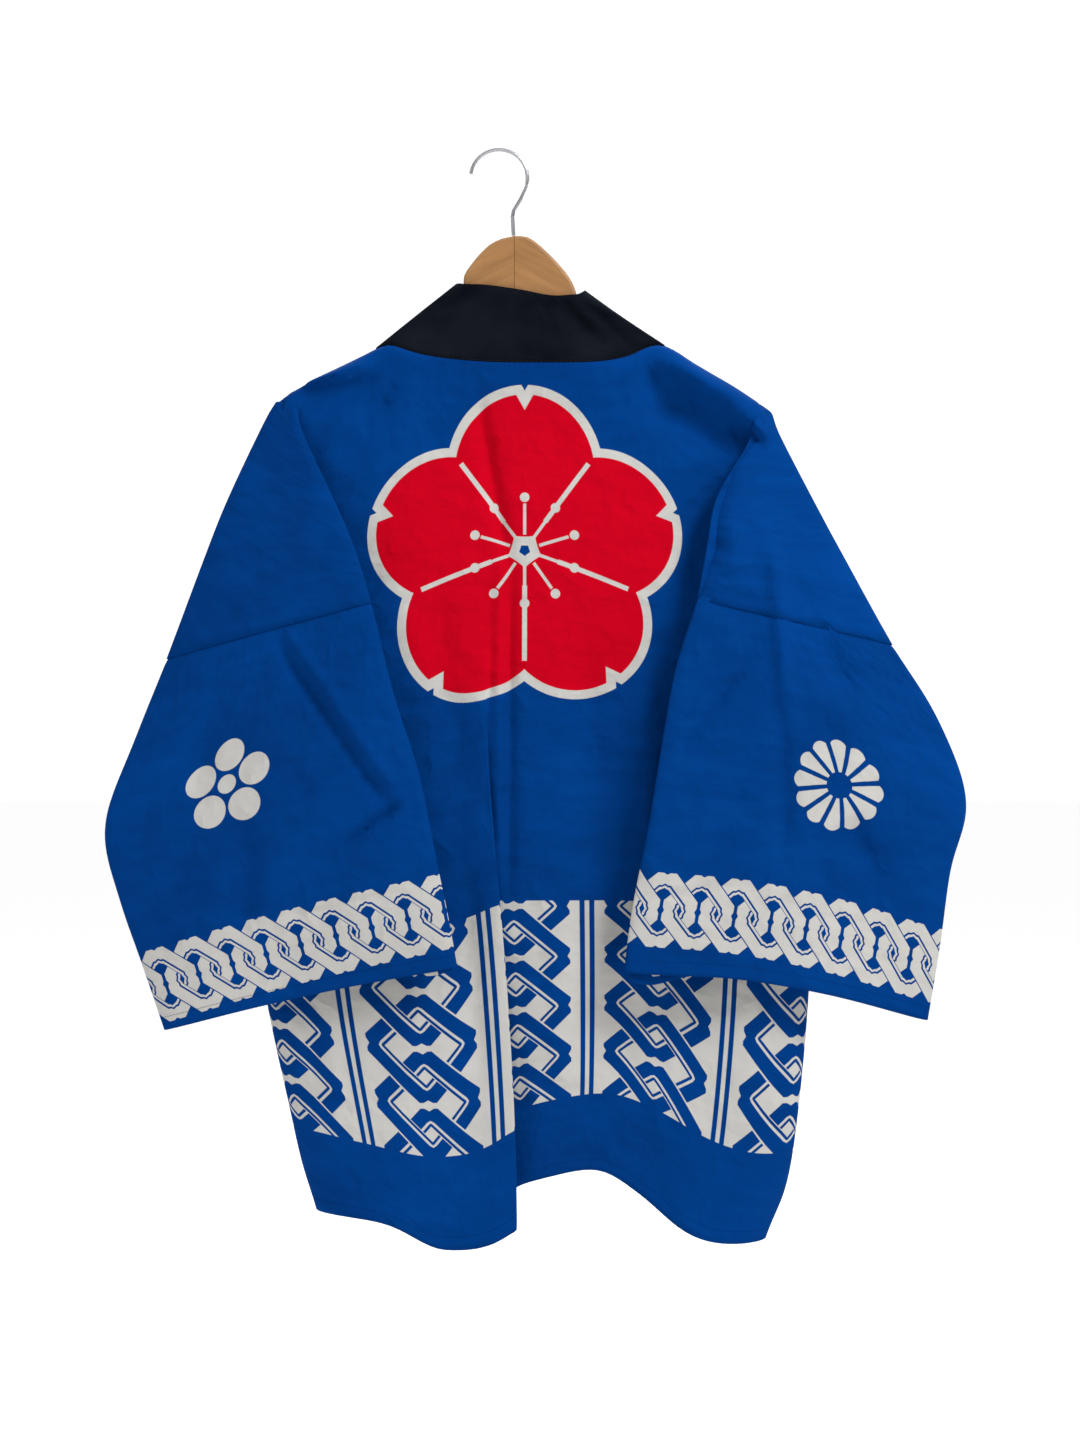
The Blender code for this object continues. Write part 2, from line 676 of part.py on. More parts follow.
parts = collection("happi_coat")
cotton = material("printed_cotton", (0.004, 0.09, 0.36), 0.85)
black = material("black_cotton", (0.012, 0.014, 0.02), 0.85)
wood = material("hanger_wood", (0.45, 0.22, 0.07), 0.45)
chrome = material("plated_wire", (0.75, 0.76, 0.78), 0.15, 1.0)

make_back(parts, cotton)
make_front("front_left", parts, cotton, -1)
make_front("front_right", parts, cotton, 1)
make_sleeve("sleeve_left", parts, cotton, ARM_L)
make_sleeve("sleeve_right", parts, cotton, ARM_R)
make_band(parts, black)
make_wood("hanger_left", parts, wood, ARM_TOP_L, 1)
make_wood("hanger_right", parts, wood, ARM_TOP_R, -1)
make_hook(parts, chrome)
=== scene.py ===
# %% [markdown]
# # A festival coat on its hanger
# A happi is a straight-cut cotton coat: a T-shaped back, two fronts, two wide square sleeves and a
# black neckband that runs from hem to hem round the neck. Here it hangs on a wooden hanger and we
# stand behind it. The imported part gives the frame: every place below is in its own millimetres,
# with the inside of the hook at the origin, +Z up and the printed back towards -Y.

# %% The frame
import math

import bmesh
import bpy
import numpy as np
from functools import partialmethod
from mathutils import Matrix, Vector


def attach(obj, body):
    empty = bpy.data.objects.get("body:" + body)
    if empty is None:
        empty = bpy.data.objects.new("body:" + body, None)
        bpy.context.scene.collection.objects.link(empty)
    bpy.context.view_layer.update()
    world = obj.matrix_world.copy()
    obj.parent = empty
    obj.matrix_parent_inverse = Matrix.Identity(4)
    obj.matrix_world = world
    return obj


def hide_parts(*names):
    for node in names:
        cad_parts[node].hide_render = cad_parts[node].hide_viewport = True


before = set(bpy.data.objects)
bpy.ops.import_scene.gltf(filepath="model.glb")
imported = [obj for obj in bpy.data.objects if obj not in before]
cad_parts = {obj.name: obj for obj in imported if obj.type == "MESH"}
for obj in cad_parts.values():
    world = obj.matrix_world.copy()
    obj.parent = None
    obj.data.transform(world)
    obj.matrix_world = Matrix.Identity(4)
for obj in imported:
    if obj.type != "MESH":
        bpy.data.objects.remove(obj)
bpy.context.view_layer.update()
bpy.ops.object.select_all(action="DESELECT")
scene = bpy.context.scene
MM = 0.001

# %% [markdown]
# ## Camera
# The coat is seen square-on from behind at the height of its middle. A 70 mm lens 2.6 m away
# keeps the sleeves, which hang a little nearer than the back, only slightly larger.

# %% Camera
CAMERA_AWAY = 2.6
CAMERA_X = 0.0381
CAMERA_Z = -0.5287
SENSOR = 36.0
VIEW_HEIGHT = 1.3392     # height of what the camera sees at the coat, in metres
bpy.ops.object.camera_add(location=(CAMERA_X, -CAMERA_AWAY, CAMERA_Z), rotation=(math.radians(90), 0, 0))
camera = bpy.context.object
camera.data.sensor_width = SENSOR
camera.data.lens = SENSOR * CAMERA_AWAY / VIEW_HEIGHT
scene.camera = camera
print("lens, mm:", round(camera.data.lens, 1))

# %% [markdown]
# ## Room
# A product picture of dark cloth wants a big soft light high on one side, a weaker one opposite,
# and a pale room that fills the shadows. The far wall and the ceiling of the room are brighter, so
# the coat stands against white and its shoulders catch more light than its hem. The floor is a
# plain pale disc well below.

# %% Floor, room light and lamps
ROOM_LIGHT = 0.14
FLOOR_Z = -1.75


def area_light(name, place, aim, size, power):
    bpy.ops.object.light_add(type="AREA", location=place)
    lamp = bpy.context.object
    lamp.name = name
    lamp.data.shape = "DISK"
    lamp.data.size = size
    lamp.data.energy = power
    lamp.rotation_mode = "QUATERNION"
    lamp.rotation_quaternion = (Vector(aim) - Vector(place)).to_track_quat("-Z", "Y")
    return lamp


def finish(name, **settings):
    """A new material and its shader, with the shader's own sockets set by name."""
    mat = bpy.data.materials.new(name)
    mat.use_nodes = True
    shader = mat.node_tree.nodes["Principled BSDF"]
    for socket, value in settings.items():
        shader.inputs[socket.replace("_", " ")].default_value = value
    return mat, shader


bpy.ops.mesh.primitive_circle_add(vertices=96, radius=40.0, fill_type="NGON", location=(0, 0, FLOOR_Z))
floor = bpy.context.object
floor.name = "floor"
floor.data.materials.append(finish("floor_pale", Base_Color=(0.92, 0.92, 0.92, 1), Roughness=0.9)[0])
room = bpy.data.worlds.new("room")
room.use_nodes = True
tree = room.node_tree
sky = tree.nodes["Background"]
sky.inputs["Color"].default_value = (1, 1, 1, 1)
look = tree.nodes.new("ShaderNodeTexCoord")
axes = tree.nodes.new("ShaderNodeSeparateXYZ")
tree.links.new(look.outputs["Generated"], axes.inputs[0])


def wash(axis, start, full, strength):
    """Extra light from one side of the room, growing from start to full along an axis."""
    node = tree.nodes.new("ShaderNodeMapRange")
    for name, value in (("From Min", start), ("From Max", full), ("To Min", 0.0), ("To Max", strength)):
        node.inputs[name].default_value = value
    tree.links.new(axes.outputs[axis], node.inputs["Value"])
    return node.outputs[0]


both = tree.nodes.new("ShaderNodeMath")
tree.links.new(wash("Y", -0.1, 0.75, 0.98), both.inputs[0])
tree.links.new(wash("Z", 0.15, 1.0, 1.0), both.inputs[1])
total = tree.nodes.new("ShaderNodeMath")
total.inputs[1].default_value = ROOM_LIGHT
tree.links.new(both.outputs[0], total.inputs[0])
tree.links.new(total.outputs[0], sky.inputs["Strength"])
scene.world = room
scene.view_settings.view_transform = "Standard"
area_light("key", (1.9, -1.6, 1.7), (0.05, 0, -0.35), 1.2, 105)
area_light("side", (-2.2, -1.6, 0.2), (0, 0, -0.55), 1.5, 14)
area_light("behind", (0.4, 2.6, 0.9), (0.03, 0, -0.5), 1.8, 12)
area_light("floor_wash", (0.0, 4.2, 2.4), (0, 4.0, FLOOR_Z), 5.0, 100)

# %% [markdown]
# ## The cut and the hang
# Real cloth is cut flat and takes its shape from what holds it, so each panel is worked out row
# by row: where the hanger, the folds and the hems put it, in short tables with named columns. A
# cloth simulation would find its own folds; tables put the pleat, the turned sleeves and the
# wavy hem where this coat has them.

# %% Tables of the hang, in millimetres
CLOTH = 1.4          # wall of the printed cotton
BAND = 2.6           # neckband, the cloth is double
SEAM = 0.3           # clearance between pieces that are sewn together
CENTRE = 24.0        # X of the centre back
BODY_HALF = 312.0    # half of the body's cut width

# Body rows, top to hem. side_l, side_r: outermost X of the body. inset: how far the side seam
# has turned in from there. back_l, back_r: Y of the back left and right of the pleat.
# front: Y of the fronts. seam_y: Y of the side seam. pleat: 0 flat, 1 fully folded. edge: X of
# the front edge seam, measured from the centre.
BODY = (
    # row side_l side_r inset back_l back_r front seam_y pleat edge
    (0.0, -197.2, 243.7, 0, -2, -2, 2, 0, 0.00, 123),
    (0.3, -202.7, 248.3, 0, -11, -11, 11, -6, 0.00, 121),
    (1.0, -214.8, 261.3, 0, -20, -20, 24, -12, 0.00, 108),
    (2.0, -220.4, 268.8, 2, -31, -31, 36, -20, 0.10, 80),
    (2.5, -224.1, 278.1, 8, -36, -34, 42, 0, 0.45, 74),
    (3.0, -226.0, 291.1, 12, -41, -37, 46, 6, 0.85, 73),
    (4.0, -191.6, 274.4, 14, -46, -36, 48, 6, 1.00, 73),
    (5.0, -170.2, 249.2, 14, -50, -34, 50, 6, 1.00, 73),
)
# Height of the printed rows and of the hem across the cut width.
ROWS_Z = (
    # across band_top band_base hem
    (-312, -700.1, -901.1, -973.4),
    (-268, -701.5, -901.9, -979.1),
    (-193, -711.5, -915.3, -988.4),
    (-128, -719.3, -927.3, -1012.1),
    (-84, -711.9, -921.5, -1009.0),
    (-48, -697.2, -902.1, -992.2),
    (-30, -694.8, -893.8, -974.2),
    (-12, -694.6, -887.9, -960.3),
    (37, -694.7, -875.4, -946.9),
    (82, -694.7, -870.8, -941.4),
    (130, -696.5, -884.5, -961.6),
    (189, -701.1, -914.8, -1001.0),
    (242, -706.6, -926.7, -1010.2),
    (312, -709.7, -924.1, -997.5),
)
# Top edge of the back: the neck seam between the two neck points, then the shoulder over the hanger.
TOP = (
    # x y z
    (-205.5, -1, -231.1),
    (-152.5, -1, -204.1),
    (-118.1, -1, -186.5),
    (-99.5, -2, -177.2),
    (-88.4, -9, -184.9),
    (-77.2, -10, -188.7),
    (-40.9, -16, -195.0),
    (12.1, -18, -198.1),
    (62.3, -18, -198.1),
    (108.8, -13, -194.7),
    (123.7, -11, -190.4),
    (134.8, -9, -185.8),
    (145.1, -2, -179.0),
    (186.9, -1, -202.3),
    (216.7, -1, -219.0),
    (252.0, -1, -242.3),
)
# Arm sections from the hanger tip to the cuff. fold: outer fold. turn: inner fold that shows over
# the back. under: underarm line, hidden behind the arm. Rows 0-4 belong to the body pieces, rows
# 4-9 to the sewn-on sleeve.
ARM_L = (
    # row fold_x fold_y fold_z turn_x turn_y turn_z under_x under_y under_z
    (0, -206.5, -3, -233.0, -186.1, -13, -241.5, -197.2, -3, -235.8),
    (1, -218.6, -4, -254.4, -182.4, -22, -261.1, -202.7, -6, -257.1),
    (2, -251.4, -7, -324.6, -153.5, -38, -321.4, -213.7, -12, -325.0),
    (3, -273.1, -10, -380.5, -132.6, -50, -369.0, -217.0, -16, -380.8),
    (4, -306.9, -14, -472.3, -115.5, -58, -422.3, -218.4, -20, -453.0),
    (5, -335.9, -18, -546.3, -96.0, -66, -501.5, -183.1, -44, -530.5),
    (6, -363.6, -24, -630.1, -71.3, -72, -578.4, -134.6, -58, -603.3),
    (7, -349.2, -28, -692.5, -55.8, -76, -655.1, -90.7, -64, -670.2),
    (8, -327.7, -30, -753.9, -45.8, -78, -701.9, -65.0, -70, -715.1),
    (9, -307.2, -32, -813.5, -36.7, -78, -751.5, -46.8, -73, -758.3),
)
ARM_R = (
    # row fold_x fold_y fold_z turn_x turn_y turn_z under_x under_y under_z
    (0, 253.0, -3, -244.1, 234.5, -13, -254.5, 243.7, -3, -246.9),
    (1, 261.3, -4, -266.4, 229.2, -22, -275.8, 248.3, -6, -270.2),
    (2, 297.9, -7, -337.6, 200.5, -38, -323.3, 260.3, -12, -330.6),
    (3, 320.7, -10, -380.5, 191.5, -50, -365.3, 265.5, -16, -380.8),
    (4, 363.7, -14, -459.3, 180.9, -58, -419.6, 267.0, -20, -451.2),
    (5, 405.7, -18, -527.8, 161.4, -66, -481.6, 239.4, -42, -515.9),
    (6, 431.6, -24, -606.1, 147.6, -70, -556.8, 203.9, -54, -587.0),
    (7, 416.2, -28, -664.9, 134.9, -72, -633.6, 169.0, -60, -654.1),
    (8, 406.8, -30, -730.9, 122.2, -72, -696.0, 141.5, -64, -711.9),
    (9, 394.5, -32, -804.3, 114.1, -72, -756.6, 123.3, -67, -767.9),
)

# Free edge of the neckband behind the neck, from the left neck point (-1) to the right one (1).
FREE = (
    # place x y z
    (-1, -40.5, -1, -124.2),
    (-0.9, -36.0, -9, -124.6),
    (-0.5, -11.9, -9, -125.6),
    (0, 20.5, -9, -130.2),
    (0.5, 53.0, -9, -135.7),
    (0.9, 75.2, -9, -133.9),
    (1, 79.5, -1, -130.7),
)
# How the band stands off its seam on the fronts, towards the middle.
STAND = (
    # row across y up
    (0.0, 61, 0, 52),
    (0.3, 60, 3, 44),
    (1.0, 62, 1, 18),
    (2.0, 64, 1, 2),
    (5.0, 64, 1, 0),
)
NECK_COLUMN = 172    # column of the back's top edge that meets the neck point
PLEAT_LEFT = 30      # the pleat's middle, left of the centre back in the cut
PLEAT_REACH = 40     # and how far to both sides it keeps its pressed shape


def finer(steps, values):
    """The same places with steps of them between each two."""
    out = []
    for a, b in zip(values[:-1], values[1:]):
        out += [a + (b - a) * k / steps for k in range(steps)]
    return tuple(out) + (values[-1],)


FACE_STEPS = (4, 4, 4, 4, 4, 6, 4, 2, 2, 4, 6)
FIELD_BODY = {"side_l": 1, "side_r": 2, "inset": 3, "back_l": 4, "back_r": 5, "front": 6,
              "seam_y": 7, "pleat": 8, "edge": 9}
FIELD_ARM = {"fold": 1, "turn": 4, "under": 7}
ARM_TO_BODY = ((0, 0.0), (1, 0.3), (2, 1.0), (3, 1.43), (4, 2.0))
ARM_ROWS = finer(2, (0, 0.35, 0.7, 1, 1.5, 2, 2.5, 3, 3.5, 4))
SLEEVE_ROWS = finer(2, (4, 4.5, 5, 5.5, 6, 6.5, 7, 7.5, 8, 8.5, 9))
LOW_ROWS = finer(2, (2.25, 2.5, 2.75, 3, 3.35, 3.7, 4, 4.33, 4.67, 5))
# Columns across the back, closer together round the pleat and at the sides.
COLUMNS = finer(2, (-312, -297, -280, -262, -240, -210, -172, -136, -104, -78, -60, -52, -48, -44, -38,
           -33, -30, -27, -20, -12, 2, 22, 48, 78, 110, 142, 176, 210, 240, 262, 280, 297, 312))

# %% [markdown]
# ## Soft curves
# Every place is read from a table through a smooth curve that never overshoots its rows, and the
# edges of an arm are drawn through a few named places.

# %% Curve helpers
def curve(pairs, at):
    """Smooth curve through a table of (where, value...) rows, read at one place."""
    keys = np.array([pair[0] for pair in pairs], float)
    values = np.array([pair[1:] for pair in pairs], float)
    if keys[0] > keys[-1]:
        keys = keys[::-1]
        values = values[::-1]
    at = min(max(at, keys[0]), keys[-1])
    i = int(min(max(np.searchsorted(keys, at) - 1, 0), len(keys) - 2))
    slopes = (values[1:] - values[:-1]) / (keys[1:] - keys[:-1])[:, None]
    before = slopes[max(i - 1, 0)]
    after = slopes[min(i + 1, len(slopes) - 1)]
    here = slopes[i]
    start = np.where(before * here > 0, 0.5 * (before + here), 0.0)
    end = np.where(here * after > 0, 0.5 * (here + after), 0.0)
    if i == 0:
        start = here
    if i == len(slopes) - 1:
        end = here
    start = np.clip(start, -3 * abs(here), 3 * abs(here))
    end = np.clip(end, -3 * abs(here), 3 * abs(here))
    width = keys[i + 1] - keys[i]
    t = (at - keys[i]) / width
    out = (values[i] * (1 + 2 * t) * (1 - t) ** 2 + values[i + 1] * t * t * (3 - 2 * t)
           + start * width * t * (1 - t) ** 2 - end * width * t * t * (1 - t))
    return out if len(out) > 1 else float(out[0])


def through(points, steps, closed=False):
    """Points of a soft line that passes through the given ones, steps of them between each pair."""
    points = [np.array(p, float) for p in points]
    count = len(points)
    out = []
    for i in range(count if closed else count - 1):
        b = points[i]
        c = points[(i + 1) % count]
        a = points[i - 1] if (i > 0 or closed) else b + (b - c)
        d = points[(i + 2) % count] if (i + 2 < count or closed) else c + (c - b)
        knots = [0.0]
        for p, q in ((a, b), (b, c), (c, d)):
            knots.append(knots[-1] + max(np.linalg.norm(q - p), 1e-6) ** 0.5)
        for k in range(steps[i]):
            t = knots[1] + (knots[2] - knots[1]) * k / steps[i]
            ab = a + (b - a) * (t - knots[0]) / (knots[1] - knots[0])
            bc = b + (c - b) * (t - knots[1]) / (knots[2] - knots[1])
            cd = c + (d - c) * (t - knots[2]) / (knots[3] - knots[2])
            abc = ab + (bc - ab) * (t - knots[0]) / (knots[2] - knots[0])
            bcd = bc + (cd - bc) * (t - knots[1]) / (knots[3] - knots[1])
            out.append(abc + (bcd - abc) * (t - knots[1]) / (knots[2] - knots[1]))
    if not closed:
        out.append(points[-1])
    return out


def ease(value, low, high):
    t = min(max((value - low) / (high - low), 0.0), 1.0)
    return t * t * (3 - 2 * t)


def body(name, row):
    field = FIELD_BODY[name]
    return curve([(line[0], line[field]) for line in BODY], row)


def arm_point(arm, name, row):
    field = FIELD_ARM[name]
    return curve([(line[0],) + tuple(line[field:field + 3]) for line in arm], row)


def body_row(arm_row):
    return curve(ARM_TO_BODY, arm_row)


def arm_row_of(row):
    return curve([(b, a) for a, b in ARM_TO_BODY], row)

# %% [markdown]
# ## Where the back hangs
# A point of the back is found from its place across the cut and its row. Three layers of the
# pleat lie over one another below the waist.

# %% Points of the back
def side_end(row, sign):
    """Where the back panel ends: the hidden fold above the armpit, the side seam below it."""
    arm = ARM_L if sign < 0 else ARM_R
    if row <= 2.0:
        return arm_point(arm, "under", arm_row_of(row))
    x = body("side_l", row) + body("inset", row)
    if sign > 0:
        x = body("side_r", row) - body("inset", row)
    low = row_height(sign * BODY_HALF, row)
    start = arm_point(arm, "under", 4)
    blend = ease(row, 2.0, 2.5)
    x = start[0] * (1 - blend) + x * blend - sign * 2.0 * ease(row, 2.0, 2.1)
    return np.array((x, body("seam_y", row), low))


def row_height(across, row):
    """Height of a row at a place across the cut width."""
    share = (across / BODY_HALF) ** 2
    arm = ARM_L if across < 0 else ARM_R
    centre = curve(((0.3, -207.3), (1.0, -279.7), (2.0, -411.1)), row)
    printed = curve([(line[0],) + tuple(line[1:]) for line in ROWS_Z], across)
    if row >= 3.0:
        return curve(((3, printed[0]), (4, printed[1]), (5, printed[2])), row)
    side = arm_point(arm, "under", arm_row_of(min(row, 2.0)))[2]
    upper = centre + (side - centre) * share
    if row <= 2.0:
        return upper
    return upper + (printed[0] - upper) * (row - 2.0)


def back_point(across, row):
    """Middle of the back's wall, at a place across the cut width on a row."""
    left = side_end(row, -1)
    right = side_end(row, 1)
    turned = ease(row, 2.0, 2.8)
    edge_l = (left[0] - body("inset", row) * turned) if row > 2 else left[0]
    edge_r = (right[0] + body("inset", row) * turned) if row > 2 else right[0]
    turn_l = edge_l + 16 * (1 - turned)
    turn_r = edge_r - 16 * (1 - turned)
    bend_l = edge_l + 36
    bend_r = edge_r - 36
    yl = body("back_l", row)
    yr = body("back_r", row)
    fold = body("pleat", row)
    fold_x = CENTRE + curve(((0, -45), (2, -30), (3, -19), (4, -9), (5, -7)), row)
    flat_l = (CENTRE - bend_l) / 232.0

    def both(flat, folded):
        return flat + (folded - flat) * fold
    out = both(CENTRE - 12 * flat_l, fold_x - 5)
    line = (
        (-312, left[0], left[1]),
        (-272, turn_l, left[1] * 0.45 + yl * 0.55),
        (-232, bend_l, yl),
        (-56, both(CENTRE - 56 * flat_l, fold_x - 7), yl - 6 * fold),
        (-48, both(CENTRE - 48 * flat_l, fold_x), both(yl, yl - 5.5)),
        (-40, both(CENTRE - 40 * flat_l, fold_x - 7), both(yl, yl - 3)),
        (-35, both(CENTRE - 35 * flat_l, fold_x - 14), both(yl, yl - 1)),
        (-30, both(CENTRE - 30 * flat_l, fold_x - 18), both((yl + yr) / 2, yl + 2)),
        (-25, both(CENTRE - 25 * flat_l, fold_x - 14), both((yl + yr) / 2, (yl + yr) / 2 + 2)),
        (-12, out, yr),
        (20, out + 32 * (bend_r - out) / 244.0, yr),
        (232, bend_r, yr),
        (272, turn_r, right[1] * 0.45 + yr * 0.55),
        (312, right[0], right[1]),
    )
    x = curve([(c[0], c[1]) for c in line], across)
    y = curve([(c[0], c[2]) for c in line], across)
    if row >= 1.0:
        z = row_height(across, row)
        if abs(across) >= BODY_HALF:
            z = (left if across < 0 else right)[2]
        wave = 2.6 * math.sin(across * 0.031 + row * 1.1) * ease(row, 1.6, 3.0)
        wave *= 1 - ease(abs(across), 215, 300)
        if abs(across + PLEAT_LEFT) < PLEAT_REACH:
            wave = 0.0
        return np.array((x, y + wave, z))
    top = curve([(line[0],) + tuple(line[1:]) for line in TOP], x)
    over = curve(((0, top[0]), (0.3, -11 + 0.6 * (top[0] + 1)), (1.0, y)), row)
    deep = row_height(across, 1.0)
    z = curve(((0, top[1]), (0.3, top[1] - 9 - 3 * (top[0] + 1) / 17), (1.0, deep)), row)
    if abs(across) >= BODY_HALF:
        return left if across < 0 else right
    return np.array((x, over, z))

# %% [markdown]
# ## Where the arms hang
# A section of an arm is a flattened loop: the outer fold, the turned edge that shows over the
# back, and the underarm line hidden behind it.

# %% Sections of the arms
def arm_line(arm, row):
    """The places that shape one section of an arm, by name."""
    fold = arm_point(arm, "fold", row)
    turn = arm_point(arm, "turn", row)
    under = arm_point(arm, "under", row)
    sign = 1 if fold[0] > CENTRE else -1
    size = min(1.0, 0.45 + 0.3 * row)
    lean = (fold - turn) / np.linalg.norm(fold - turn)
    soft = lean * 8.0 * size
    belly = np.array((0, -1.0, 0)) * curve(((0, 1), (2, 5), (4, 9), (6, 13), (9, 9)), row)
    hollow = curve(((0, 1), (3, 3), (4, 4), (6, 9), (9, 9)), row)
    belly[2] = curve(((0, 0), (6, 0), (8, 3), (9, 10)), row) * (1.0 if sign > 0 else 0.35)
    away = np.array((0, 1.0, 0))
    thick = curve(((0, 2), (2, 4), (4, 5), (9, 5)), row)
    return {
        "under": under,
        "inner": (under + turn) / 2 + away * 1.5,
        "turn_in": turn + soft + away * thick,
        "turn": turn,
        "turn_out": turn + soft - away * thick * 0.9,
        "face_a": turn + (fold - turn) * 0.34 + belly,
        "face_b": turn + (fold - turn) * 0.68 + belly * 0.9,
        "fold_out": fold - lean * 7 * size - away * thick * 0.8,
        "fold": fold,
        "fold_in": fold - lean * 7 * size + away * thick * 0.8,
        "rear": (fold + under) / 2 + away * hollow + np.array((0, 0, belly[2] * 1.3)),
    }


def arm_back(arm, row):
    """Back of the arm, from the hidden fold round the turned edge out to the top fold."""
    p = arm_line(arm, row)
    edge = p["fold"] - np.array((0, CLOTH / 2 + SEAM, 0))
    names = ("under", "inner", "turn_in", "turn", "turn_out", "face_a", "face_b", "fold_out")
    return through([p[n] for n in names] + [edge], FACE_STEPS[:8])


def arm_front(arm, row):
    """Front of the arm, from the armhole line out to the top fold."""
    p = arm_line(arm, row)
    edge = p["fold"] + np.array((0, CLOTH / 2 + SEAM, 0))
    start = front_side(arm, row)
    middle = (start + edge) / 2 + np.array((0, 2.0, 0))
    return through([start, middle, p["fold_in"], edge], (4, 4, 2))


def front_side(arm, row):
    under = arm_point(arm, "under", row)
    y = curve(((0, 1), (1, 8), (2, 10), (3, 0), (4, under[1] + 2 * CLOTH)), row)
    return np.array((under[0], y, under[2]))


def sleeve_ring(arm, row):
    """One closed section of the sewn-on sleeve."""
    p = arm_line(arm, row)
    names = ("under", "inner", "turn_in", "turn", "turn_out", "face_a", "face_b", "fold_out",
             "fold", "fold_in", "rear")
    sign = 1 if p["fold"][0] > CENTRE else -1
    line = [p[n] for n in names]
    line[0] = line[0] + np.array((sign * 5.0, -3.5, 0))
    return through(line, FACE_STEPS, closed=True)

# %% [markdown]
# ## Where the fronts hang
# The fronts hang free from the shoulders and meet the neckband.

# %% Points of the fronts
CHEST_Z = -296.2     # height of row 1 at the front edges


def front_point(share, row, sign):
    """Middle of a front's wall. share runs from the side seam (0) to the front edge (1)."""
    arm = ARM_L if sign < 0 else ARM_R
    if row <= 2.0:
        side = front_side(arm, arm_row_of(row))
    else:
        side = side_end(row, sign) + np.array((0, 4 * SEAM + CLOTH * (1 - ease(row, 2, 2.6)), 0))
    x_edge = CENTRE + sign * body("edge", row)
    x = side[0] + (x_edge - side[0]) * share
    front = body("front", row)
    turned = ease(row, 2.0, 2.8)
    bow = 1 - (1 - share) ** (2.0 + 1.2 * turned)
    bulge = sign * 9.0 * turned * math.sin(math.pi * min(share / 0.25, 1.0))
    y = side[1] + (front - side[1]) * bow
    y += 5.0 * turned * math.sin(share * 2 * math.pi * 1.5) * (1 - share ** 4)
    if row < 1.0:
        top = curve([(line[0],) + tuple(line[1:]) for line in TOP], x)
        low = CHEST_Z + (side_end(1.0, sign)[2] - CHEST_Z) * (1 - share) ** 2
        z = curve(((0, top[1]), (0.3, top[1] - 9), (1.0, low)), row)
        y = curve(((0, 1.0), (0.3, 10.5), (1.0, 24 - 14 * (1 - share) ** 2)), row)
        if share <= 0:
            z = side[2]
            y = side[1]
        return np.array((x, y, z))
    deep = curve(((1, CHEST_Z), (2, -426.4), (3, -664.0), (4, -868.0), (5, -951.0)), row)
    z = deep + (side[2] - deep) * (1 - share) ** 2
    return np.array((x + bulge * 0.5, y, z))

# %% [markdown]
# ## Where the neckband stands
# It uses the same rows and columns as its neighbours, so their edges meet.

# %% Edges of the neckband
def band_back(across):
    """Seam edge and free edge of the neckband above a column of the back."""
    seam = back_point(across, 0) + np.array((0, 0, BAND / 2))
    return seam, curve(FREE, across / NECK_COLUMN)


def band_front(row, sign):
    """Seam edge and free edge of the neckband beside a row of a front."""
    stand = curve(STAND, row)
    if sign > 0:
        stand += np.array((6.0, 0, -2.0)) * (1 - ease(row, 0, 0.7))
    stand[0] *= -sign
    off = stand / np.linalg.norm(stand) * (BAND / 2 + SEAM + 1.2 * (1 - ease(row, 0, 0.5)))
    return front_point(1.0, row, sign) + off, front_point(1.0, row, sign) + stand

# %% [markdown]
# ## Creases
# Cotton that was folded for storage keeps soft troughs and ridges, and it buckles where it is
# pulled over the hanger. Each is one line of a table: from where to where, how far it stands out
# (minus for a trough), and how wide it is. They fade towards both ends. A minus width makes a
# lapped edge: the cloth stands out on the line's left side and lies low on its right one.

# %% Crease tables and the push they give
CREASE_BACK = (
    # x0 z0 x1 z1 out width
    (-185.7, -222.5, -113.6, -205.9, 14.1, -12),
    (-174.3, -231.3, -109.6, -233.2, -7.7, 10),
    (-116.8, -233.6, -155.5, -298.2, 5.1, 9),
    (-135.2, -233.6, -160.1, -270.5, 4.5, 7),
    (-89.0, -217.4, -157.1, -292.9, -8.0, 6),
    (-95.4, -211.9, -162.7, -285.5, 5.1, 6),
    (145.4, -186.5, 249.0, -254.9, 8.3, 12),
    (141.6, -201.8, 189.6, -223.9, 4.8, -15),
    (169.1, -211.5, 246.5, -270.5, 12.2, -17),
    (139.6, -217.0, 224.4, -287.1, -8.3, 15),
    (203.6, -289.7, 176.0, -418.4, -9.6, 20),
    (130.7, -188.0, 227.9, -237.1, 3.8, 8),
    (-18.9, -234.3, 7.8, -381.5, -6.4, 8),
    (10.6, -381.9, 9.7, -693.9, -5.8, 6),
    (1.4, -381.9, 0.5, -657.2, 3.8, 8),
    (24.4, -629.7, 63.8, -679.2, 2.9, 4),
    (38.1, -551.7, 129.9, -558.1, -2.2, 5),
    (-72.0, -524.1, 6.0, -530.5, -2.2, 5),
    (-62.8, -404.8, -26.1, -602.1, -3.8, 16),
    (79.4, -455.3, 93.2, -657.2, -6.4, 18),
    (129.9, -455.3, 143.7, -675.6, 5.1, 14),
    (-26.0, -675.2, -16.8, -858.4, -4.8, 14),
    (56.5, -693.8, 61.1, -877.2, 5.1, 18),
    (111.5, -693.8, 118.8, -868.0, -5.1, 16),
    (-182.0, -698.4, -165.5, -895.6, -4.5, 12),
    (-90.1, -693.5, -82.7, -904.1, 4.5, 14),
    (-140.4, -698.1, -134.0, -885.8, -3.8, 10),
    (258.8, -698.8, 249.6, -878.0, -4.5, 14),
)
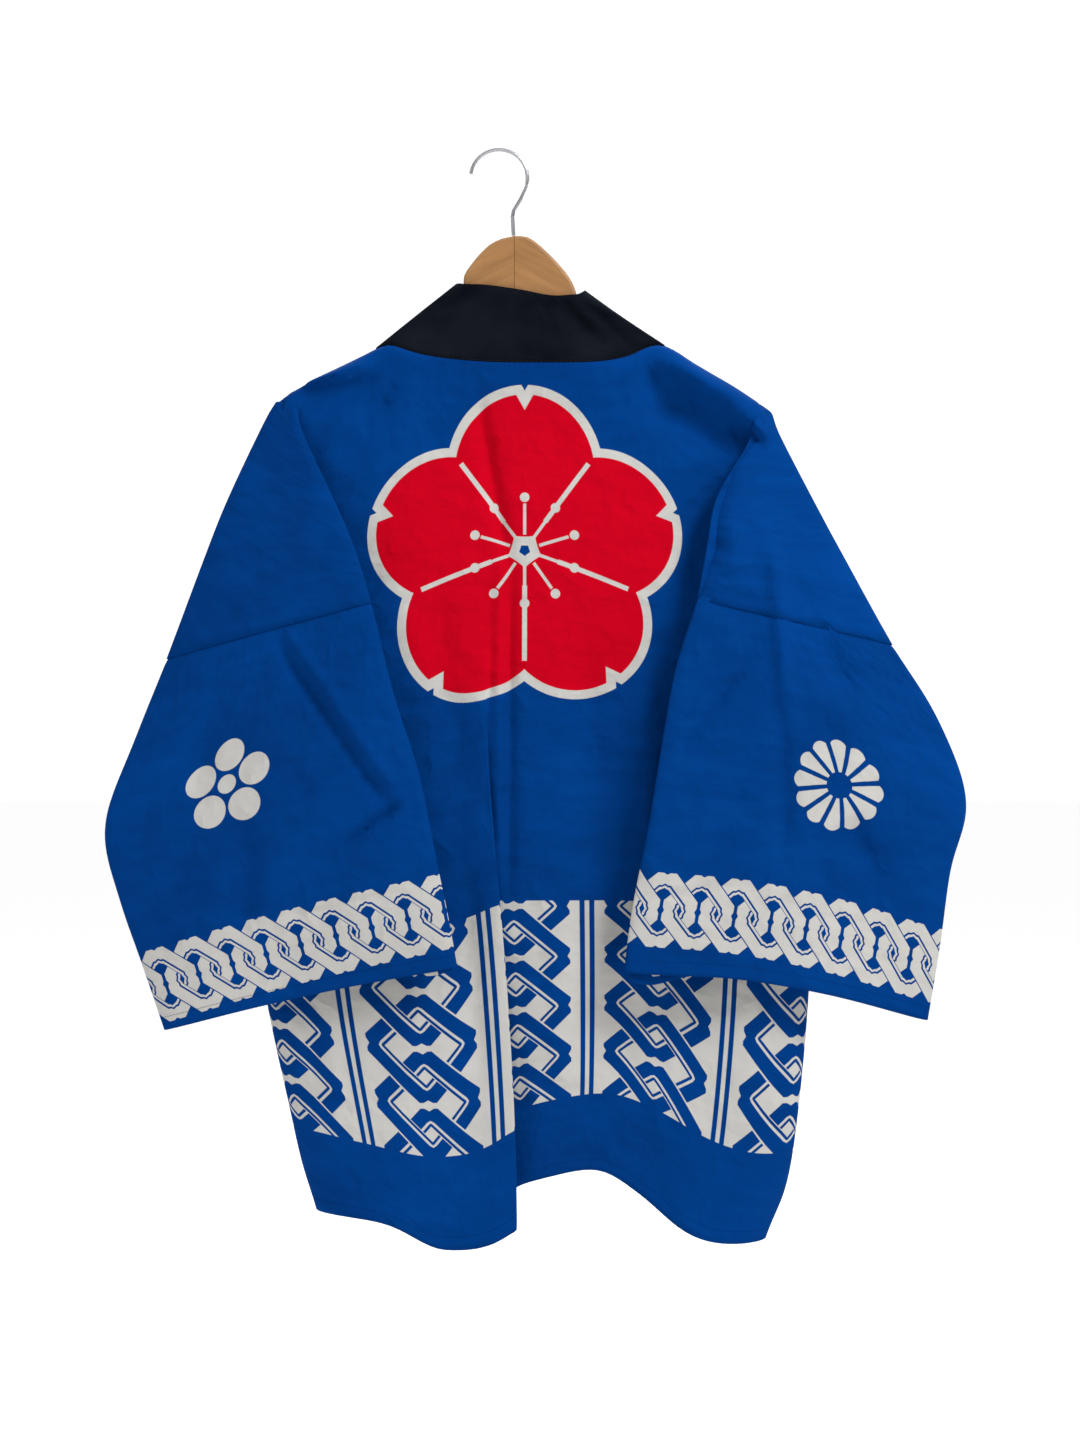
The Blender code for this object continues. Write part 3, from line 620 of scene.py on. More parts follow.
CREASE_ARM = (
    # x0 z0 x1 z1 out width
    (-192.6, -449.1, -90.4, -598.4, 6.4, 6),
    (-199.0, -458.1, -97.6, -606.5, -5.8, 8),
    (-86.4, -603.6, -139.6, -642.4, -7.7, 5),
    (-80.9, -611.7, -133.3, -650.5, 4.5, 6),
    (-183.2, -598.3, -136.3, -572.1, -3.2, 5),
    (-303.9, -688.0, -264.1, -675.3, -3.2, 5),
    (-352.3, -665.5, -324.9, -661.9, -2.6, 4),
    (-228.0, -627.9, -232.5, -718.1, -8.0, 16),
    (-257.1, -456.0, -279.9, -601.4, -5.1, 18),
    (-191.0, -706.4, -94.5, -683.9, -2.2, 3),
    (-317.6, -697.4, -354.1, -601.7, 4.5, 10),
    (-170.8, -301.6, -179.9, -383.3, 4.8, 16),
    (248.1, -268.1, 262.6, -525.1, 9.3, 10),
    (273.2, -322.5, 320.3, -503.4, -12.8, 17),
    (229.7, -470.0, 161.0, -564.8, -5.8, 7),
    (223.4, -463.7, 153.8, -557.6, 3.8, 6),
    (164.5, -598.2, 247.6, -601.8, -2.9, 4),
    (256.4, -510.7, 260.0, -646.0, -5.1, 9),
    (314.4, -620.8, 354.1, -675.0, -8.3, 16),
    (183.3, -301.9, 194.2, -383.6, -6.4, 9),
    (208.7, -301.9, 217.7, -401.7, 4.5, 9),
    (369.7, -565.0, 401.5, -557.8, -3.2, 5),
    (128.4, -693.0, 236.7, -673.2, -2.6, 5),
)
CREASE_FRONT = (
    # x0 z0 x1 z1 out width
    (-160.2, -245.4, -146.0, -698.7, -8.0, 22),
    (-235.7, -302.1, -188.5, -509.8, 6.4, 18),
    (-75.4, -377.3, -80.2, -888.4, 5.8, 20),
    (189.2, -245.4, 179.8, -698.7, -8.0, 22),
    (255.3, -302.1, 227.0, -509.8, 6.4, 18),
    (132.8, -377.3, 142.2, -888.4, -5.8, 20),
)
CREASE_BAND = (
    # x0 z0 x1 z1 out width
    (62.2, -138.4, 104.7, -177.2, 5.1, 7),
    (78.8, -142.1, 130.6, -181.8, -4.5, 7),
    (-26.6, -140.2, -54.4, -168.0, 3.2, 7),
    (5.8, -160.6, 42.8, -151.3, 2.9, 5),
    (-63.6, -156.9, -87.7, -179.1, -3.2, 6),
    (19.6, -181.8, 84.4, -188.3, 2.2, 6),
)


def push_of(table, x, z):
    """How far the creases push cloth outwards at many places at once, in mm."""
    total = np.zeros(len(x))
    for x0, z0, x1, z1, out, width in table:
        length = math.hypot(x1 - x0, z1 - z0)
        ax = (x1 - x0) / length
        az = (z1 - z0) / length
        where = ((x - x0) * ax + (z - z0) * az) / length
        side = (x - x0) * az - (z - z0) * ax
        fade = np.clip((where + 0.1) / 0.3, 0, 1) * np.clip((1.1 - where) / 0.3, 0, 1)
        near = np.exp(-1.2 * (side / width) ** 2)
        if width < 0:
            near *= np.clip(-side / 4.0, -1, 1)
        total += out * np.sin(fade * math.pi / 2) ** 2 * near
    return total


print("creases:", [len(t) for t in (CREASE_BACK, CREASE_ARM, CREASE_FRONT, CREASE_BAND)])

# %% [markdown]
# ## Sewing a panel
# A panel is first a coarse net: rows of points, each with its place in the flat cut as a UV in
# metres, so that a print stays on the cloth through its folds. Subdivision Surface rounds the
# net, the creases push it in or out, and Solidify gives the thin wall.

# %% The panel maker
CLOTH_WALL = 1.2
BAND_WALL = 2.4
WOOD_LOWEST = -0.262    # below this height there is no wood under the cloth, in metres
WOOD_CLEAR = 0.0085     # half of the wood's thickness and a little more


class Net:
    """Rows of points, each with its place in the flat cut, joined into one sheet."""

    def __init__(self):
        self.points = []
        self.cut = []
        self.faces = []

    def line(self, points, cut):
        first = len(self.points)
        self.points.extend(points)
        self.cut.extend(cut)
        return list(range(first, first + len(points)))

    def join(self, upper, lower):
        for i in range(len(upper) - 1):
            self.faces.append((upper[i], upper[i + 1], lower[i + 1], lower[i]))


def apply_modifiers(piece):
    bpy.ops.object.select_all(action="DESELECT")
    bpy.context.view_layer.objects.active = piece
    piece.select_set(True)
    for modifier in list(piece.modifiers):
        bpy.ops.object.modifier_apply(modifier=modifier.name)


def crease(piece, table, towards, beyond):
    """Pushes the cloth that looks towards +Y (1) or -Y (-1) that way, by the crease table. Only
    cloth that hangs further out than beyond (mm) moves, and none of it into the wood."""
    mesh = piece.data
    count = len(mesh.vertices)
    place = np.zeros(count * 3)
    normal = np.zeros(count * 3)
    mesh.vertices.foreach_get("co", place)
    mesh.vertices.foreach_get("normal", normal)
    place = place.reshape(-1, 3)
    normal = normal.reshape(-1, 3)
    facing = np.clip(normal[:, 1] * towards * 4.0, 0, 1)
    if beyond > 0:
        facing *= np.clip((place[:, 1] * towards / MM - beyond) / 12.0, 0, 1)
    push = push_of(table, place[:, 0] / MM, place[:, 2] / MM) * facing
    moved = place.copy()
    moved[:, 1] += towards * push * MM
    over_wood = place[:, 2] > WOOD_LOWEST
    least = np.minimum(place[:, 1] * towards, WOOD_CLEAR)
    moved[:, 1] = np.where(over_wood, towards * np.maximum(moved[:, 1] * towards, least), moved[:, 1])
    mesh.vertices.foreach_set("co", moved.ravel())
    mesh.update()


def sew(name, net, wall, mat, nodes, levels, creases=(), outward=None):
    """Turns a net into a thin piece of cloth that stands for its CAD node."""
    mesh = bpy.data.meshes.new(name)
    mesh.from_pydata([tuple(p * MM) for p in net.points], [], net.faces)
    layer = mesh.uv_layers.new(name="cut")
    for loop in mesh.loops:
        layer.data[loop.index].uv = net.cut[loop.vertex_index]
    piece = bpy.data.objects.new(name, mesh)
    scene.collection.objects.link(piece)
    work = bmesh.new()
    work.from_mesh(mesh)
    bmesh.ops.remove_doubles(work, verts=work.verts, dist=1e-6)
    bmesh.ops.recalc_face_normals(work, faces=work.faces)
    if outward is not None:
        lean = sum(face.normal.y * face.calc_area() for face in work.faces)
        if lean * outward < 0:
            bmesh.ops.reverse_faces(work, faces=work.faces)
    work.to_mesh(mesh)
    work.free()
    mesh.materials.append(mat)
    round_off = piece.modifiers.new("round", "SUBSURF")
    round_off.levels = levels
    round_off.render_levels = levels
    round_off.boundary_smooth = "PRESERVE_CORNERS"
    apply_modifiers(piece)
    for table, towards, beyond in creases:
        crease(piece, table, towards, beyond)
    shell = piece.modifiers.new("wall", "SOLIDIFY")
    shell.thickness = wall * MM
    shell.offset = 0.0
    apply_modifiers(piece)
    bpy.ops.object.shade_smooth()
    piece.select_set(False)
    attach(piece, "root")
    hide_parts(*nodes)
    print(name, "faces:", len(piece.data.polygons))
    return piece

# %% [markdown]
# ## Printed cotton
# The prints are stencilled on the flat cloth, so each is worked out from the cut (the UV map, in
# metres). A shape is a distance field: below zero is inside. Writing that with Math nodes by hand
# takes hundreds of them, so a small class lets ordinary arithmetic place them.

# %% Arithmetic that places Math nodes
class Field:
    """A number that varies over the cloth. Sums and products of fields add Math nodes."""

    tree = None

    def __init__(self, socket):
        self.socket = socket

    def math(self, operation, *others, clamp=False):
        node = Field.tree.nodes.new("ShaderNodeMath")
        node.operation = operation
        node.use_clamp = clamp
        for slot, value in zip(node.inputs, (self,) + others):
            if isinstance(value, Field):
                Field.tree.links.new(value.socket, slot)
            else:
                slot.default_value = value
        return Field(node.outputs[0])

    __add__ = partialmethod(math, "ADD")
    __sub__ = partialmethod(math, "SUBTRACT")
    __mul__ = partialmethod(math, "MULTIPLY")
    __truediv__ = partialmethod(math, "DIVIDE")
    __neg__ = partialmethod(math, "MULTIPLY", -1.0)
    __abs__ = partialmethod(math, "ABSOLUTE")
    least = partialmethod(math, "MINIMUM")
    most = partialmethod(math, "MAXIMUM")
    fraction = partialmethod(math, "FRACT")

    def inside(self, soft=0.5):
        """1 where a distance in mm is below zero, 0 above, with a soft rim."""
        return self.math("MULTIPLY_ADD", -1.0 / soft, 0.5, clamp=True)


def add_node(kind):
    return Field.tree.nodes.new("ShaderNode" + kind)


def link(output, slot):
    Field.tree.links.new(output, slot)


def length_of(x, y):
    return (x * x + y * y).math("SQRT")


def folded(x, y, count):
    """Turns a place about a centre into the nearest of so many equal sectors: along, across."""
    sector = 2 * math.pi / count
    angle = x.math("ARCTAN2", y)
    turn = ((angle / sector + 0.5).fraction() - 0.5) * sector
    reach = length_of(x, y)
    return reach * turn.math("COSINE"), reach * turn.math("SINE"), reach


def cloth_place():
    """Across and up on the flat cut, in mm."""
    uv = add_node("UVMap")
    uv.uv_map = "cut"
    split = add_node("SeparateXYZ")
    link(uv.outputs["UV"], split.inputs[0])
    return Field(split.outputs[0]) * 1000.0, Field(split.outputs[1]) * 1000.0, uv


# %% [markdown]
# ### The linked chain
# The border is a chain of cut-off diamonds, each threaded through the next. Two neighbours reach
# any place: the near link and the far one. On one side of the axis the near link lies over, on
# the other the far one, and the link on top hides a thin rim of the one below.

# %% One chain, drawn once for every border
PITCH = 51.5             # from one link to the next, in mm
CUT_OFF = 49.0           # where a diamond's corners are cut off
SLOPE = math.sqrt(0.5)


def link_bands(along, across, reach, band):
    """Ink and cover of one link, at a place from its centre in mm. reach: half of the diamond."""
    a = abs(along)
    q = abs(across)
    notch_a = (-(a / 4.5) + 1.0).most(0.0) * 2.4
    notch_q = (-(q / 4.5) + 1.0).most(0.0) * 2.4
    diamond = a + q - reach
    outer = (diamond * SLOPE).most(a - CUT_OFF + notch_q).most(q - CUT_OFF + notch_a)
    hole = (diamond + band) * SLOPE
    rest = -(band * 0.77) + CUT_OFF
    inner = hole.most(a - rest - notch_q).most(q - rest - notch_a)
    body_ink = outer.inside() * (-inner).inside()
    line_ink = (abs(inner + band * 0.2) - band * 0.072).inside()
    cover = (outer - 1.5).inside() * (-inner - band * 0.31).inside()
    return body_ink.most(line_ink), cover


def make_chain_group():
    group = bpy.data.node_groups.new("linked_chain", "ShaderNodeTree")
    for name in ("along", "across", "reach", "band"):
        group.interface.new_socket(name, in_out="INPUT", socket_type="NodeSocketFloat")
    group.interface.new_socket("ink", in_out="OUTPUT", socket_type="NodeSocketFloat")
    Field.tree = group
    start = group.nodes.new("NodeGroupInput")
    end = group.nodes.new("NodeGroupOutput")
    near = (Field(start.outputs["along"]) / PITCH).fraction() * PITCH
    across = Field(start.outputs["across"])
    reach = Field(start.outputs["reach"])
    band = Field(start.outputs["band"])
    near_ink, near_cover = link_bands(near, across, reach, band)
    far_ink, far_cover = link_bands(-near + PITCH, across, reach, band)
    near_on_top = near_ink + (-near_cover + 1.0) * far_ink
    far_on_top = far_ink + (-far_cover + 1.0) * near_ink
    side = across.math("GREATER_THAN", 0.0)
    ink = far_on_top + (near_on_top - far_on_top) * side
    group.links.new(ink.socket, end.inputs["ink"])
    return group


CHAIN = make_chain_group()


def chain(along, across, reach, band):
    node = add_node("Group")
    node.node_tree = CHAIN
    node.inputs["reach"].default_value = reach
    node.inputs["band"].default_value = band
    link(along.socket, node.inputs["along"])
    link(across.socket, node.inputs["across"])
    return Field(node.outputs["ink"])


print("chain nodes:", len(CHAIN.nodes))

# %% [markdown]
# ### Blossom and badges
# The middle of the back carries a red five-petal blossom with a white rim, in the place and at
# the size of a festival mark. Each sleeve has a small white flower. All are plain garden shapes,
# folded out of one petal.

# %% Flowers
def blossom(x, y):
    """Red and white of the big blossom, at a place from its centre in mm."""
    along, across, reach = folded(x, y, 5)
    petal = length_of(along - 81.0, across) - 68.0
    notch = (along - 135.0) * 0.62 - abs(across)
    shape = petal.most(notch * 0.8)
    side_along, side_across, _ = folded(-x, -y, 5)
    slit = (abs(side_across) - 2.3).most(abs(side_along - 70.0) - 36.0)
    ray_along, ray_across, _ = folded(x, y, 10)
    ray = (abs(ray_across) - 1.5).most(abs(ray_along - 30.0) - 15.0)
    tip = length_of(ray_along - 51.0, ray_across) - 4.6
    heart = abs(reach - 10.5) - 2.0
    fine = slit.least(ray).least(tip).least(heart)
    red = shape.inside() * (-fine).inside()
    white = (shape - 8.5).inside()
    return red, white


def plum_badge(x, y):
    along, across, reach = folded(x, y, 5)
    petal = length_of(along - 27.0, across) - 14.6
    return petal.least(reach - 8.6).inside()


def rosette_badge(x, y):
    along, across, reach = folded(x, y, 12)
    drop = abs(across) - (along * 0.235)
    petal = drop.most(length_of(along - 33.0, across) - 10.0)
    stem = (abs(across) - (along * 0.235 - 1.5)).most(along - 34.0).most(-along + 12.0)
    return (petal + 1.3).least(stem).inside()


# %% [markdown]
# ### The cloth under the print
# Plain-weave cotton is matt. Its threads are half a millimetre apart, so they only make a fine
# bump; thicker slubs run along and across. Dye takes unevenly, fold lines have rubbed paler, and
# many small wrinkles stay from storage.

# %% Cotton finish shared by the three prints
BLUE = (0.0001, 0.040, 0.205)
DEEP_BLUE = (0.0001, 0.0245, 0.128)
WHITE = (0.50, 0.49, 0.465)
WHITE_LOW = (0.36, 0.355, 0.34)
RED = (0.47, 0.0004, 0.010)
RED_LOW = (0.39, 0.0003, 0.008)


def mixed(low, high, share):
    node = add_node("Mix")
    node.data_type = "RGBA"
    link(share.socket, node.inputs["Factor"])
    for slot, value in ((node.inputs[6], low), (node.inputs[7], high)):
        if isinstance(value, tuple):
            slot.default_value = (*value, 1)
        else:
            link(value, slot)
    return node.outputs[2]


def noise(vector, scale, detail=2.0, stretch=(1, 1, 1)):
    mapping = add_node("Mapping")
    mapping.inputs["Scale"].default_value = stretch
    link(vector, mapping.inputs["Vector"])
    node = add_node("TexNoise")
    node.inputs["Scale"].default_value = scale
    node.inputs["Detail"].default_value = detail
    link(mapping.outputs[0], node.inputs["Vector"])
    return Field(node.outputs["Fac"])


def cotton_shader(name, rough, sheen):
    mat, shader = finish(name, Roughness=rough, Sheen_Weight=sheen, Sheen_Roughness=0.5,
                         Sheen_Tint=(0.25, 0.45, 1.0, 1.0), Specular_IOR_Level=0.015)
    Field.tree = mat.node_tree
    return mat, shader


def weave_height(x, y, uv, wrinkle):
    """Height of the threads, slubs and storage wrinkles, in mm."""
    warp = (x * (2 * math.pi / 0.9)).math("SINE")
    weft = (y * (2 * math.pi / 0.9)).math("SINE")
    slub_up = noise(uv.outputs["UV"], 1.0, 2.0, (900, 14, 1))
    slub_over = noise(uv.outputs["UV"], 1.0, 2.0, (14, 900, 1))
    folds = noise(uv.outputs["UV"], 1.0, 3.0, (9, 26, 1))
    crumple = noise(uv.outputs["UV"], 60.0, 3.0)
    pinched = abs(noise(uv.outputs["UV"], 19.0, 2.0) - 0.5)
    return (warp * weft * 0.035 + (slub_up + slub_over) * 0.10
            + (folds * 2.6 + crumple * 0.9 - pinched * 5.0) * wrinkle)


def bump_of(height, shader):
    node = add_node("Bump")
    node.inputs["Strength"].default_value = 1.0
    node.inputs["Distance"].default_value = 0.001
    link(height.socket, node.inputs["Height"])
    link(node.outputs[0], shader.inputs["Normal"])


def stitch_row(x, distance):
    """A row of small stitches at a distance field's zero line."""
    dash = abs((x / 3.4).fraction() - 0.5) * 3.4 - 1.15
    return (abs(distance) - 0.35).most(dash).inside(0.3)


def finish_print(mat, shader, x, y, uv, white, red, stitch, wrinkle):
    """Dye, print, wear, stitches and weave into the shader."""
    uneven = noise(uv.outputs["UV"], 7.0, 4.0)
    rubbed = noise(uv.outputs["UV"], 1.0, 3.0, (18, 60, 1))
    share = (uneven * 1.5 - 0.25 + (rubbed - 0.5) * 0.8).math("MULTIPLY", 1.0, clamp=True)
    dyed = mixed(DEEP_BLUE, BLUE, share)
    cloth = mixed(dyed, mixed(WHITE_LOW, WHITE, uneven), white)
    if red is not None:
        cloth = mixed(cloth, mixed(RED_LOW, RED, uneven), red)
    thread = mixed(cloth, DEEP_BLUE, stitch * 0.5)
    link(thread, shader.inputs["Base Color"])
    hem = (y - 12.5).inside(1.5)
    bump_of(weave_height(x, y, uv, wrinkle) - stitch * 0.5 + hem * 0.35, shader)

# %% [markdown]
# ### Print of the body
# A white band stands 85 mm above the hem. Blue chains climb it every 128.5 mm, with a pair of
# blue stripes half-way between two chains. The blossom sits between the shoulder blades.

# %% Body print
REPEAT = 128.5           # from chain to chain, in mm
BLOSSOM_UP = 617.0       # middle of the blossom above the hem


def make_body_print():
    mat, shader = cotton_shader("print_body", 0.88, 0.012)
    x, y, uv = cloth_place()
    across = ((x / REPEAT + 0.5).fraction() - 0.5) * REPEAT
    links = chain(-y + 285.5, -across, 57.0, 17.5)
    stripes = (abs(-abs(across) + REPEAT / 2 - 4.3) - 2.3).inside()
    band = (abs(y - 188.0) - 103.0).inside()
    red, rim = blossom(x * 1.06, (y - BLOSSOM_UP) * 1.03)
    white = (band * (-(links.most(stripes)) + 1.0)).most(rim)
    stitch = stitch_row(x, y - 12.0)
    finish_print(mat, shader, x, y, uv, white, red, stitch, 1.7)
    return mat


PRINT_BODY = make_body_print()
print("body print nodes:", len(PRINT_BODY.node_tree.nodes))

# %% [markdown]
# ### Prints of the sleeves
# The same chain, smaller, lying down and in white, rings each sleeve a hand's width above the
# cuff. The flower is on the outer back of the sleeve.

# %% Sleeve prints
SMALL = 37.0             # pitch of the sleeve's links, in mm
TALL = 34.0              # half of the sleeve chain's height


def make_sleeve_print(name, knot, towards, line, badge, place):
    mat, shader = cotton_shader(name, 0.88, 0.012)
    x, y, uv = cloth_place()
    along = (x - knot) * (towards * PITCH / SMALL)
    across = (y - (x * line[1] + line[0])) * (CUT_OFF / TALL)
    white = chain(along, across, 62.0, 21.0).most(badge((x - place[0]) * 0.9, y - place[1]))
    stitch = stitch_row(x, y - 12.0)
    finish_print(mat, shader, x, y, uv, white, None, stitch, 1.7)
    return mat


PRINT_LEFT = make_sleeve_print("print_sleeve_left", 39.9, -1, (52.0, -0.036), plum_badge, (190.0, 205.0))
PRINT_RIGHT = make_sleeve_print("print_sleeve_right", -8.6, 1, (60.0, -0.03), rosette_badge,
                                (182.0, 189.0))
print("sleeve print nodes:", len(PRINT_LEFT.node_tree.nodes))

# %% [markdown]
# ### Black cotton
# The neckband is a darker, closer cloth, folded double and pressed, with the same fine threads
# and a faint dusty bloom.

# %% Neckband finish
def make_black():
    mat, shader = cotton_shader("black_band", 0.85, 0.01)
    x, y, uv = cloth_place()
    dust = (noise(uv.outputs["UV"], 11.0, 5.0) * 2.4 - 0.75).math("MULTIPLY", 1.0, clamp=True)
    cloth = mixed((0.0008, 0.0011, 0.0025), (0.008, 0.010, 0.015), dust)
    stitch = stitch_row(y, x - 3.0)
    thread = mixed(cloth, (0.03, 0.032, 0.04), stitch * 0.5)
    link(thread, shader.inputs["Base Color"])
    bump_of(weave_height(x, y, uv, 1.3) - stitch * 0.4, shader)
    return mat


BLACK = make_black()
print("black nodes:", len(BLACK.node_tree.nodes))

# %% [markdown]
# ## The back
# One T-shaped piece: body and the upper back of both arms. A knife pleat at the centre takes up
# cloth below the waist, and each arm's inner side is turned under along the armhole.

# %% Back
def cut_height(row):
    """Height above the hem of a row in the flat cut, in metres."""
    if row >= 3:
        return curve(((3, 0.291), (4, 0.085), (5, 0.0)), row)
    if row >= 2:
        return 0.578 - 0.287 * (row - 2)
    return curve(((0, 0.795), (0.3, 0.785), (1, 0.711), (2, 0.578)), row)


def cut_across(across, x, row):
    share = ease(row, 2.2, 3.0)
    return ((x - CENTRE) * (1 - share) + across * share) * MM


def steps_along(points):
    """Length of each step from a point to the next."""
    return [float(np.linalg.norm(b - a)) for a, b in zip(points[:-1], points[1:])]


def run_on(points, u, v, sign):
    """Cut places of points that run on from a first one, sideways."""
    out = [(u, v)]
    for step in steps_along(points):
        u += sign * step * MM
        out.append((u, v))
    return out


BODY_ROWS = [(body_row(a), a) for a in ARM_ROWS] + [(r, None) for r in LOW_ROWS]
TIP_L = (-204.5, -3.0, -234.0)    # where the cloth closes over the hanger's tips
TIP_R = (250.0, -3.0, -241.5)


def tip_row(net, line, cut, start, tip):
    """Closes an arm's top over the hanger's tip, in line with the shoulder."""
    walk = np.cumsum([0.0] + steps_along(line))
    start = np.array(start)
    return net.line([start + (tip - start) * share for share in walk / walk[-1]], [cut] * len(line))


def make_back_net():
    net = Net()
    before = None
    for row, arm_row in BODY_ROWS:
        points = [back_point(c, row) for c in COLUMNS]
        v = cut_height(row)
        cuts = [(cut_across(c, p[0], row), v) for c, p in zip(COLUMNS, points)]
        middle = net.line(points, cuts)
        arms = None
        if arm_row is not None:
            left = [points[0]] + arm_back(ARM_L, arm_row)[1:]
            right = [points[-1]] + arm_back(ARM_R, arm_row)[1:]
            ids_l = net.line(left[1:], run_on(left, cuts[0][0], v, -1)[1:])
            ids_r = net.line(right[1:], run_on(right, cuts[-1][0], v, 1)[1:])
            arms = (list(reversed(ids_l)) + [middle[0]], [middle[-1]] + ids_r)
            if before is None:
                net.join(list(reversed(tip_row(net, left, cuts[0], points[1], TIP_L))), arms[0])
                net.join(tip_row(net, right, cuts[-1], points[-2], TIP_R), arms[1])
        if before:
            net.join(before[0], middle)
            if arms:
                net.join(before[1][0], arms[0])
                net.join(before[1][1], arms[1])
        before = (middle, arms)
    return net


back = sew("back_cloth", make_back_net(), CLOTH_WALL, PRINT_BODY, ["back"], 1,
           [(CREASE_BACK, -1, 0), (CREASE_ARM, -1, 34)], outward=-1)

# %% [markdown]
# ## The fronts
# Each front runs from the side seam to the neckband, and takes in the upper front of its arm.
# The printed border goes on round the side seam without a break.

# %% Fronts
SHARES = finer(2, (0, 0.05, 0.11, 0.18, 0.27, 0.37, 0.48, 0.59, 0.7, 0.8, 0.9, 1.0))
FRONT_CUT = BODY_HALF * MM + 7 * REPEAT * MM


def make_front_net(sign):
    arm = ARM_L if sign < 0 else ARM_R
    net = Net()
    before = None
    for row, arm_row in BODY_ROWS:
        v = cut_height(row)
        points = [front_point(s, row, sign) for s in SHARES]
        middle = net.line(points, run_on(points, sign * FRONT_CUT, v, sign))
        outer = None
        if arm_row is not None:
            line = [points[0]] + arm_front(arm, arm_row)[1:]
            outer = [middle[0]] + net.line(line[1:], run_on(line, sign * FRONT_CUT, v, -sign)[1:])
            if before is None:
                tip = (TIP_L if sign < 0 else TIP_R) + np.array((0, 8.0, -1.0))
                net.join(tip_row(net, line, (sign * FRONT_CUT, v), points[1], tip), outer)
        if before:
            net.join(before[0], middle)
            if outer:
                net.join(before[1], outer)
        before = (middle, outer)
    return net


front_left, front_right = (
    sew(node + "_cloth", make_front_net(sign), CLOTH_WALL, PRINT_BODY, [node], 1,
        [(CREASE_FRONT, 1, 0)], outward=1)
    for node, sign in (("front_left", -1), ("front_right", 1)))

# %% [markdown]
# ## The sleeves
# A wide square tube, sewn to the arm below the flower-free upper part. The net is a pile of closed
# sections; the underarm seam is where the flat cut starts and ends. Its top edge slips a few
# millimetres inside the arm, as the seam allowance does, which leaves the shallow groove of a seam.

# %% Sleeves
FACE = 0.32          # width of the flat tube, in metres
SEAM_SLIP = 5.0      # seam allowance inside the arm
CUFF_RISE = 15.0     # the hidden side of the cuff hangs this much higher
AT_TURN = sum(FACE_STEPS[:3])
AT_FOLD = sum(FACE_STEPS[:8])


def make_sleeve_net(arm):
    top = np.array(sleeve_ring(arm, SLEEVE_ROWS[0]))
    down = np.array(sleeve_ring(arm, SLEEVE_ROWS[0] + 0.1)) - top
    down /= np.linalg.norm(down, axis=1)[:, None]
    inward = np.cross(np.roll(top, -1, 0) - np.roll(top, 1, 0), down)
    inward /= np.linalg.norm(inward, axis=1)[:, None]
    if np.sum(inward * (top.mean(0) - top)) < 0:
        inward = -inward
    rings = [top - SEAM_SLIP * down + 1.7 * inward, top + 0.2 * down + 1.2 * inward, top + 4.0 * down]
    rings += [np.array(sleeve_ring(arm, row)) for row in SLEEVE_ROWS[1:]]
    behind = np.zeros(len(top))
    behind[AT_FOLD:] = np.sin(np.linspace(0, math.pi, len(top) - AT_FOLD)) ** 0.6
    for ring, row in zip(rings[3:], SLEEVE_ROWS[1:]):
        ring[:, 2] += CUFF_RISE * behind * ease(row, 7.0, 9.0)
    rings = np.array([np.vstack([ring, ring[:1]]) for ring in rings])
    drops = np.linalg.norm(rings[1:] - rings[:-1], axis=2)
    up = np.vstack([np.cumsum(drops[::-1], axis=0)[::-1], np.zeros(drops.shape[1])]) * MM
    net = Net()
    before = None
    for ring, heights in zip(rings, up):
        walk = np.concatenate([[0], np.cumsum(np.linalg.norm(ring[1:] - ring[:-1], axis=1))])
        wide = walk[AT_FOLD] - walk[AT_TURN]
        cuts = []
        for i, (at, high) in enumerate(zip(walk, heights)):
            u = (at - walk[AT_TURN]) * MM
            if i > AT_FOLD:
                u = FACE + (at - walk[AT_FOLD]) * MM
            elif i > AT_TURN:
                u = FACE * (at - walk[AT_TURN]) / wide
            cuts.append((u, high))
        ids = net.line(list(ring), cuts)
        if before:
            net.join(before, ids)
        before = ids
    return net


sleeve_left, sleeve_right = (
    sew(node + "_cloth", make_sleeve_net(arm), CLOTH_WALL, mat, [node], 2, [(CREASE_ARM, -1, 34)])
    for node, arm, mat in (("sleeve_left", ARM_L, PRINT_LEFT), ("sleeve_right", ARM_R, PRINT_RIGHT)))

# %% [markdown]
# ## The neckband
# One long double strip from the left hem, up round the neck and down to the right hem. Behind the
# neck it stands up in front of the hanger. Its seam edge closes round the edges of the cloth.

# %% Neckband
def make_band_net():
    net = Net()
    rows = [row for row, _ in BODY_ROWS]
    pairs = [(band_front(r, -1), 1.5) for r in reversed(rows)]
    pairs += [(band_back(c), -2.0) for c in COLUMNS if abs(c) <= NECK_COLUMN]
    pairs += [(band_front(r, 1), 1.5) for r in rows]
    before = None
    down = 0.0
    last = None
    for (seam, free), bow in pairs:
        soft = np.array((0, bow, 0))
        seam = seam - (free - seam) / np.linalg.norm(free - seam) * 3.5
        line = [seam, seam + (free - seam) / 3 + soft * 0.8, seam + (free - seam) * 2 / 3 + soft, free]
        if last is not None:
            down += float(np.linalg.norm((seam + free - last) / 2)) * MM
        last = seam + free
        ids = net.line(line, run_on(line, 0.0, down, 1))
        if before:
            net.join(before, ids)
        before = ids
    return net


band = sew("neckband_cloth", make_band_net(), BAND_WALL, BLACK, ["neckband"], 2,
           [(CREASE_BAND, -1, 0)])

# %% [markdown]
# ## The hanger
# The hanger's shape is right as it was packed, so it keeps its own mesh and only gets a better
# finish: pale hardwood under satin varnish, its grain running down each arm.

# %% Hanger wood
def own_place():
    """The piece's own coordinates."""
    return add_node("TexCoord").outputs["Object"]


